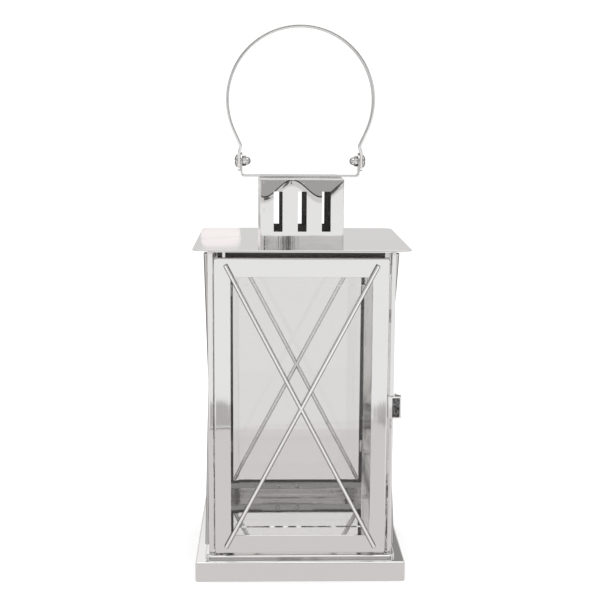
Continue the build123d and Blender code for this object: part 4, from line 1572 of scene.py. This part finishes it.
@dataclass
class Studio:
    """White floor and background, soft light, cards for the steel to mirror, and the camera."""

    eye: tuple[float, float, float] = (-0.0262, -0.9577, 0.3610)
    heading: float = 0.028
    dip: float = 0.1618
    roll: float = 0.0064
    lens: float = 72.6
    table_corners: tuple = ((-0.50, -0.41), (0.118, -0.53), (0.15, 0.355), (-0.50, 0.355))
    table_round: float = 0.03
    rim_width: float = 0.006
    rim_corner: tuple = ((0.098, -0.530), (0.105, -0.5235), (0.1115, -0.506), (0.1195, -0.490),
                         (0.1245, -0.490), (0.1175, -0.509), (0.109, -0.530))
    patches: dict = field(default_factory=lambda: {
        "left_patch": ((-0.110, -0.600), (-0.085, -0.635), (-0.066, -0.600), (-0.062, -0.505),
                       (-0.100, -0.498)),
        "right_patch": ((0.100, -0.535), (0.098, -0.575), (0.128, -0.625), (0.140, -0.560),
                        (0.128, -0.510)),
    })
    dome_radius: float = 3.0

    def card(self, name: str, surface: Surface, material: bpy.types.Material, seen: bool) -> bpy.types.Object:
        """Link a stage piece.

        Args:
            name: Its name.
            surface: Its mesh.
            material: Its finish.
            seen: True for the floor, which only the camera sees; False for what only reflections
                and glass see.

        Returns:
            The stage object.
        """
        mesh = bpy.data.meshes.new(name)
        mesh.from_pydata(np.concatenate(surface.points), [], surface.faces)
        mesh.materials.append(material)
        piece = bpy.data.objects.new(name, mesh)
        bpy.context.scene.collection.objects.link(piece)
        piece.visible_camera = seen
        piece.visible_glossy = not seen
        piece.visible_transmission = not seen
        if not seen:
            piece.visible_diffuse = False
            piece.visible_shadow = False
        return piece

    def disc(self, inner: float, outer: float, height: float) -> Surface:
        """Flat ring in the floor's plane: radius times (cos, sin) on two circles.

        Args:
            inner: Radius of its hole.
            outer: Its outer radius.
            height: Its height.

        Returns:
            The ring.
        """
        angle = np.linspace(0.0, 2 * np.pi, 97)[:-1]
        radius = np.array([inner, outer])[:, None]
        block = np.stack([radius * np.cos(angle), radius * np.sin(angle), np.full((2, 96), height)], -1)
        surface = Surface()
        surface.add_grid(block, wrap_v=True)
        return surface

    def board(self, corners: Sequence[Sequence[float]], round_off: float, height: float) -> Surface:
        """Flat board with rounded corners, one face.

        Args:
            corners: Its corners, in order.
            round_off: Radius of its corners.
            height: Its height.

        Returns:
            The board.
        """
        outline = rounded_path(corners, round_off, 8, closed=True)
        surface = Surface()
        first = surface.add_points(np.column_stack([outline, np.full(len(outline), height)]))
        surface.cap(first + np.arange(len(outline)))
        return surface

    def build_floor(self) -> None:
        """Make the white floor that the camera sees, and the table that the steel mirrors."""
        paper = bpy.data.materials.new("white_paper")
        paper.use_nodes = True
        shader = paper.node_tree.nodes["Principled BSDF"]
        shader.inputs["Base Color"].default_value = (0.95, 0.95, 0.95, 1.0)
        shader.inputs["Roughness"].default_value = 0.9
        shader.inputs["Specular IOR Level"].default_value = 0.0
        self.card("floor", self.disc(0.001, 12.0, -0.0003), paper, True)
        near = GlowFinish("table_light", (0.72, 0.69, 0.685)).make()
        rim = GlowFinish("table_edge", (0.14, 0.13, 0.13)).make()
        front = GlowFinish("front_sweep_light", (0.93, 0.93, 0.93)).make()
        back = GlowFinish("back_sweep_light", (0.80, 0.79, 0.785)).make()
        grey = GlowFinish("grey_patch", (0.50, 0.485, 0.48)).make()
        front_edge = self.table_corners[:2]
        rim_corners = (*front_edge, *[(x, y - self.rim_width) for x, y in front_edge[::-1]])
        outer = self.dome_radius * 1.02
        self.card("table_card", self.board(self.table_corners, self.table_round, -0.0006), near, False)
        self.card("table_rim_card", self.board(rim_corners, 0.0005, -0.0005), rim, False)
        self.card("table_corner_rim_card", self.board(self.rim_corner, 0.002, -0.0004), rim, False)
        for name, near_edge, far_edge, glow in (("front_sweep_card", -outer, -0.2, front),
                                                ("back_sweep_card", -0.2, outer, back)):
            corners = ((-outer, near_edge), (outer, near_edge), (outer, far_edge), (-outer, far_edge))
            self.card(name, self.board(corners, 0.01, -0.0012), glow, False)
        for name, corners in self.patches.items():
            self.card(name, self.board(corners, 0.004, 0.0002), grey, False)

    def build_dome(self) -> None:
        """Make the dome that stands for the studio's walls and ceiling in reflections.

        Its brightness is read up a ramp of height over radius.
        """
        turn = np.linspace(0.0, 2 * np.pi, 97)[:-1][None, :]
        rise = np.linspace(-0.02, QUARTER - 0.02, 40)[:, None]
        radius = self.dome_radius
        block = np.stack([radius * np.cos(rise) * np.cos(turn), radius * np.cos(rise) * np.sin(turn),
                          radius * np.sin(rise) + 0 * turn], -1)
        surface = Surface()
        first = surface.add_grid(block, wrap_v=True)
        surface.cap(first + 39 * 96 + np.arange(96))
        material = bpy.data.materials.new("studio_walls")
        material.use_nodes = True
        nodes, links = material.node_tree.nodes, material.node_tree.links
        nodes.remove(nodes["Principled BSDF"])
        place = nodes.new("ShaderNodeTexCoord")
        split = nodes.new("ShaderNodeSeparateXYZ")
        links.new(place.outputs["Object"], split.inputs["Vector"])
        share = nodes.new("ShaderNodeMapRange")
        share.inputs["From Min"].default_value = 0.0
        share.inputs["From Max"].default_value = radius
        links.new(split.outputs["Z"], share.inputs["Value"])
        ramp = nodes.new("ShaderNodeValToRGB")
        stops = ramp.color_ramp.elements
        stops[0].position, stops[0].color = 0.0, (0.92, 0.92, 0.92, 1)
        stops[1].position, stops[1].color = 1.0, (1.5, 1.5, 1.5, 1)
        for position, tone in ((0.06, 0.92), (0.10, 0.70), (0.24, 0.70), (0.36, 0.98), (0.50, 1.0),
                               (0.55, 0.35), (0.66, 0.35), (0.72, 1.0), (0.92, 1.5)):
            stop = stops.new(position)
            stop.color = (tone, tone * 0.99, tone * 0.985, 1)
        links.new(share.outputs["Result"], ramp.inputs["Fac"])
        glow = nodes.new("ShaderNodeEmission")
        links.new(ramp.outputs["Color"], glow.inputs["Color"])
        links.new(glow.outputs["Emission"], nodes["Material Output"].inputs["Surface"])
        self.card("studio_dome", surface, material, False)

    def build_shade(self) -> None:
        """Make the grey region high before the door: a patch of a sphere just inside the dome."""
        turn = np.linspace(-1.15, 1.15, 40)[None, :]
        radius = self.dome_radius * 0.96
        regions = (("room_shade_edge", 0.217, 0.252, 0.03), ("room_shade", 0.252, 0.62, 0.42))
        for name, low, high, tone in regions:
            rise = np.linspace(low, high, 12)[:, None]
            block = np.stack([radius * np.cos(rise) * np.sin(turn), -radius * np.cos(rise) * np.cos(turn),
                              radius * np.sin(rise) + 0 * turn], -1)
            surface = Surface()
            surface.add_grid(block)
            glow = GlowFinish(f"{name}_glow", (tone, tone * 0.98, tone * 0.97)).make()
            self.card(name, surface, glow, False)

    def build_flags(self) -> None:
        """Make the flat cards that the steel mirrors: the dark stand before the door, dark flags at
        the sides and behind, and one pale card low behind the lantern."""
        black = GlowFinish("black_flag", (0.012, 0.012, 0.012)).make()
        dark = GlowFinish("dark_flag", (0.13, 0.127, 0.125)).make()
        grey = GlowFinish("grey_flag", (0.30, 0.295, 0.29)).make()
        side = GlowFinish("side_flag", (0.42, 0.415, 0.41)).make()
        pink = GlowFinish("pale_card", (1.0, 0.94, 0.93)).make()
        flags = (
            ("stand_edge_flag", black, (-0.006, -0.975, 0.375), (0.066, 0.090), 0.0),
            ("stand_flag", dark, (-0.006, -0.970, 0.375), (0.056, 0.080), 0.0),
            ("post_edge_flag", black, (0.068, -0.975, 0.365), (0.020, 0.075), 0.0),
            ("post_flag", dark, (0.068, -0.970, 0.365), (0.012, 0.068), 0.0),
            ("left_flag", black, (-1.7, -1.5, 0.85), (0.50, 1.5), 0.78),
            ("right_flag", black, (1.8, -1.1, 0.85), (0.55, 1.5), -1.0),
            ("left_side_flag", side, (-2.3, 0.2, 0.85), (0.45, 1.5), 1.6),
            ("right_side_flag", side, (2.3, 0.3, 0.85), (0.45, 1.5), -1.6),
            ("rear_left_flag", dark, (-1.6, 1.7, 0.9), (0.45, 1.6), 2.3),
            ("rear_right_flag", dark, (1.5, 1.9, 0.9), (0.45, 1.6), -2.45),
            ("back_right_card", grey, (0.42, 1.5, 0.62), (0.48, 0.28), np.pi),
            ("back_left_card", pink, (-0.120, 1.5, 0.418), (0.080, 0.044), np.pi),
        )
        for name, material, centre, size, turn in flags:
            along = (np.cos(turn), np.sin(turn), 0.0)
            plane = Pose2D(centre, along, (0, 0, 1), (-np.sin(turn), np.cos(turn), 0.0))
            outline = ring(size[0] / 2, size[1] / 2, 0.35 * min(size), 8)[0]
            surface = Surface()
            first = surface.add_points(plane.place(outline[:, 0], outline[:, 1], 0.0))
            surface.cap(first + np.arange(len(outline)))
            self.card(name, surface, material, False)

    def build_light(self) -> None:
        """Make the even white surround and one broad overhead light."""
        scene = bpy.context.scene
        world = bpy.data.worlds.new("white_surround")
        scene.world = world
        world.use_nodes = True
        shade = world.node_tree.nodes["Background"]
        shade.inputs["Color"].default_value = (1.0, 1.0, 1.0, 1.0)
        shade.inputs["Strength"].default_value = 1.12
        world.cycles_visibility.glossy = False
        world.cycles_visibility.transmission = False
        light = bpy.data.lights.new("overhead_softbox", "AREA")
        light.shape = "RECTANGLE"
        light.size, light.size_y = 2.4, 2.4
        light.energy = 26.0
        lamp = bpy.data.objects.new("overhead_softbox", light)
        lamp.location = (0.0, -0.3, 2.2)
        lamp.visible_glossy = False
        lamp.visible_transmission = False
        scene.collection.objects.link(lamp)
        scene.view_settings.view_transform = "Standard"
        scene.view_settings.look = "None"
        scene.cycles.max_bounces = 24
        scene.cycles.glossy_bounces = 16
        scene.cycles.transmission_bounces = 20

    def build_camera(self) -> None:
        """Place the camera: forward from heading and dip, then rolled about its own line of sight."""
        cos_dip, sin_dip = np.cos(self.dip), np.sin(self.dip)
        forward = np.array([np.sin(self.heading) * cos_dip, np.cos(self.heading) * cos_dip, -sin_dip])
        flat_right = np.cross(forward, [0.0, 0.0, 1.0])
        flat_right /= np.linalg.norm(flat_right)
        flat_up = np.cross(flat_right, forward)
        right = np.cos(self.roll) * flat_right + np.sin(self.roll) * flat_up
        up = np.cos(self.roll) * flat_up - np.sin(self.roll) * flat_right
        matrix = Matrix.Identity(4)
        for column, axis in enumerate((right, up, -forward, np.array(self.eye))):
            for row in range(3):
                matrix[row][column] = axis[row]
        data = bpy.data.cameras.new("camera")
        data.lens, data.sensor_width = self.lens, 36.0
        data.clip_start, data.clip_end = 0.01, 50.0
        camera = bpy.data.objects.new("camera", data)
        camera.matrix_world = matrix
        bpy.context.scene.collection.objects.link(camera)
        bpy.context.scene.camera = camera

    def build(self) -> None:
        """Make the whole studio."""
        self.build_floor()
        self.build_dome()
        self.build_shade()
        self.build_flags()
        self.build_light()
        self.build_camera()


def main() -> None:
    """Dress and build the lantern, sub-assembly by sub-assembly."""
    logging.basicConfig(level=logging.INFO, format="%(name)s: %(message)s")
    finishes = Finishes.make()
    Studio().build()
    for part in (Base(finishes), Walls(finishes), Roof(finishes), Chimney(finishes), Door(finishes),
                 Glazing(finishes), Ledge(finishes), Rods(finishes), Handle(finishes), KeptNodes(finishes)):
        part.build()


if __name__ == "__main__":
    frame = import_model()
    frame_nodes = frame["nodes"]
    main()
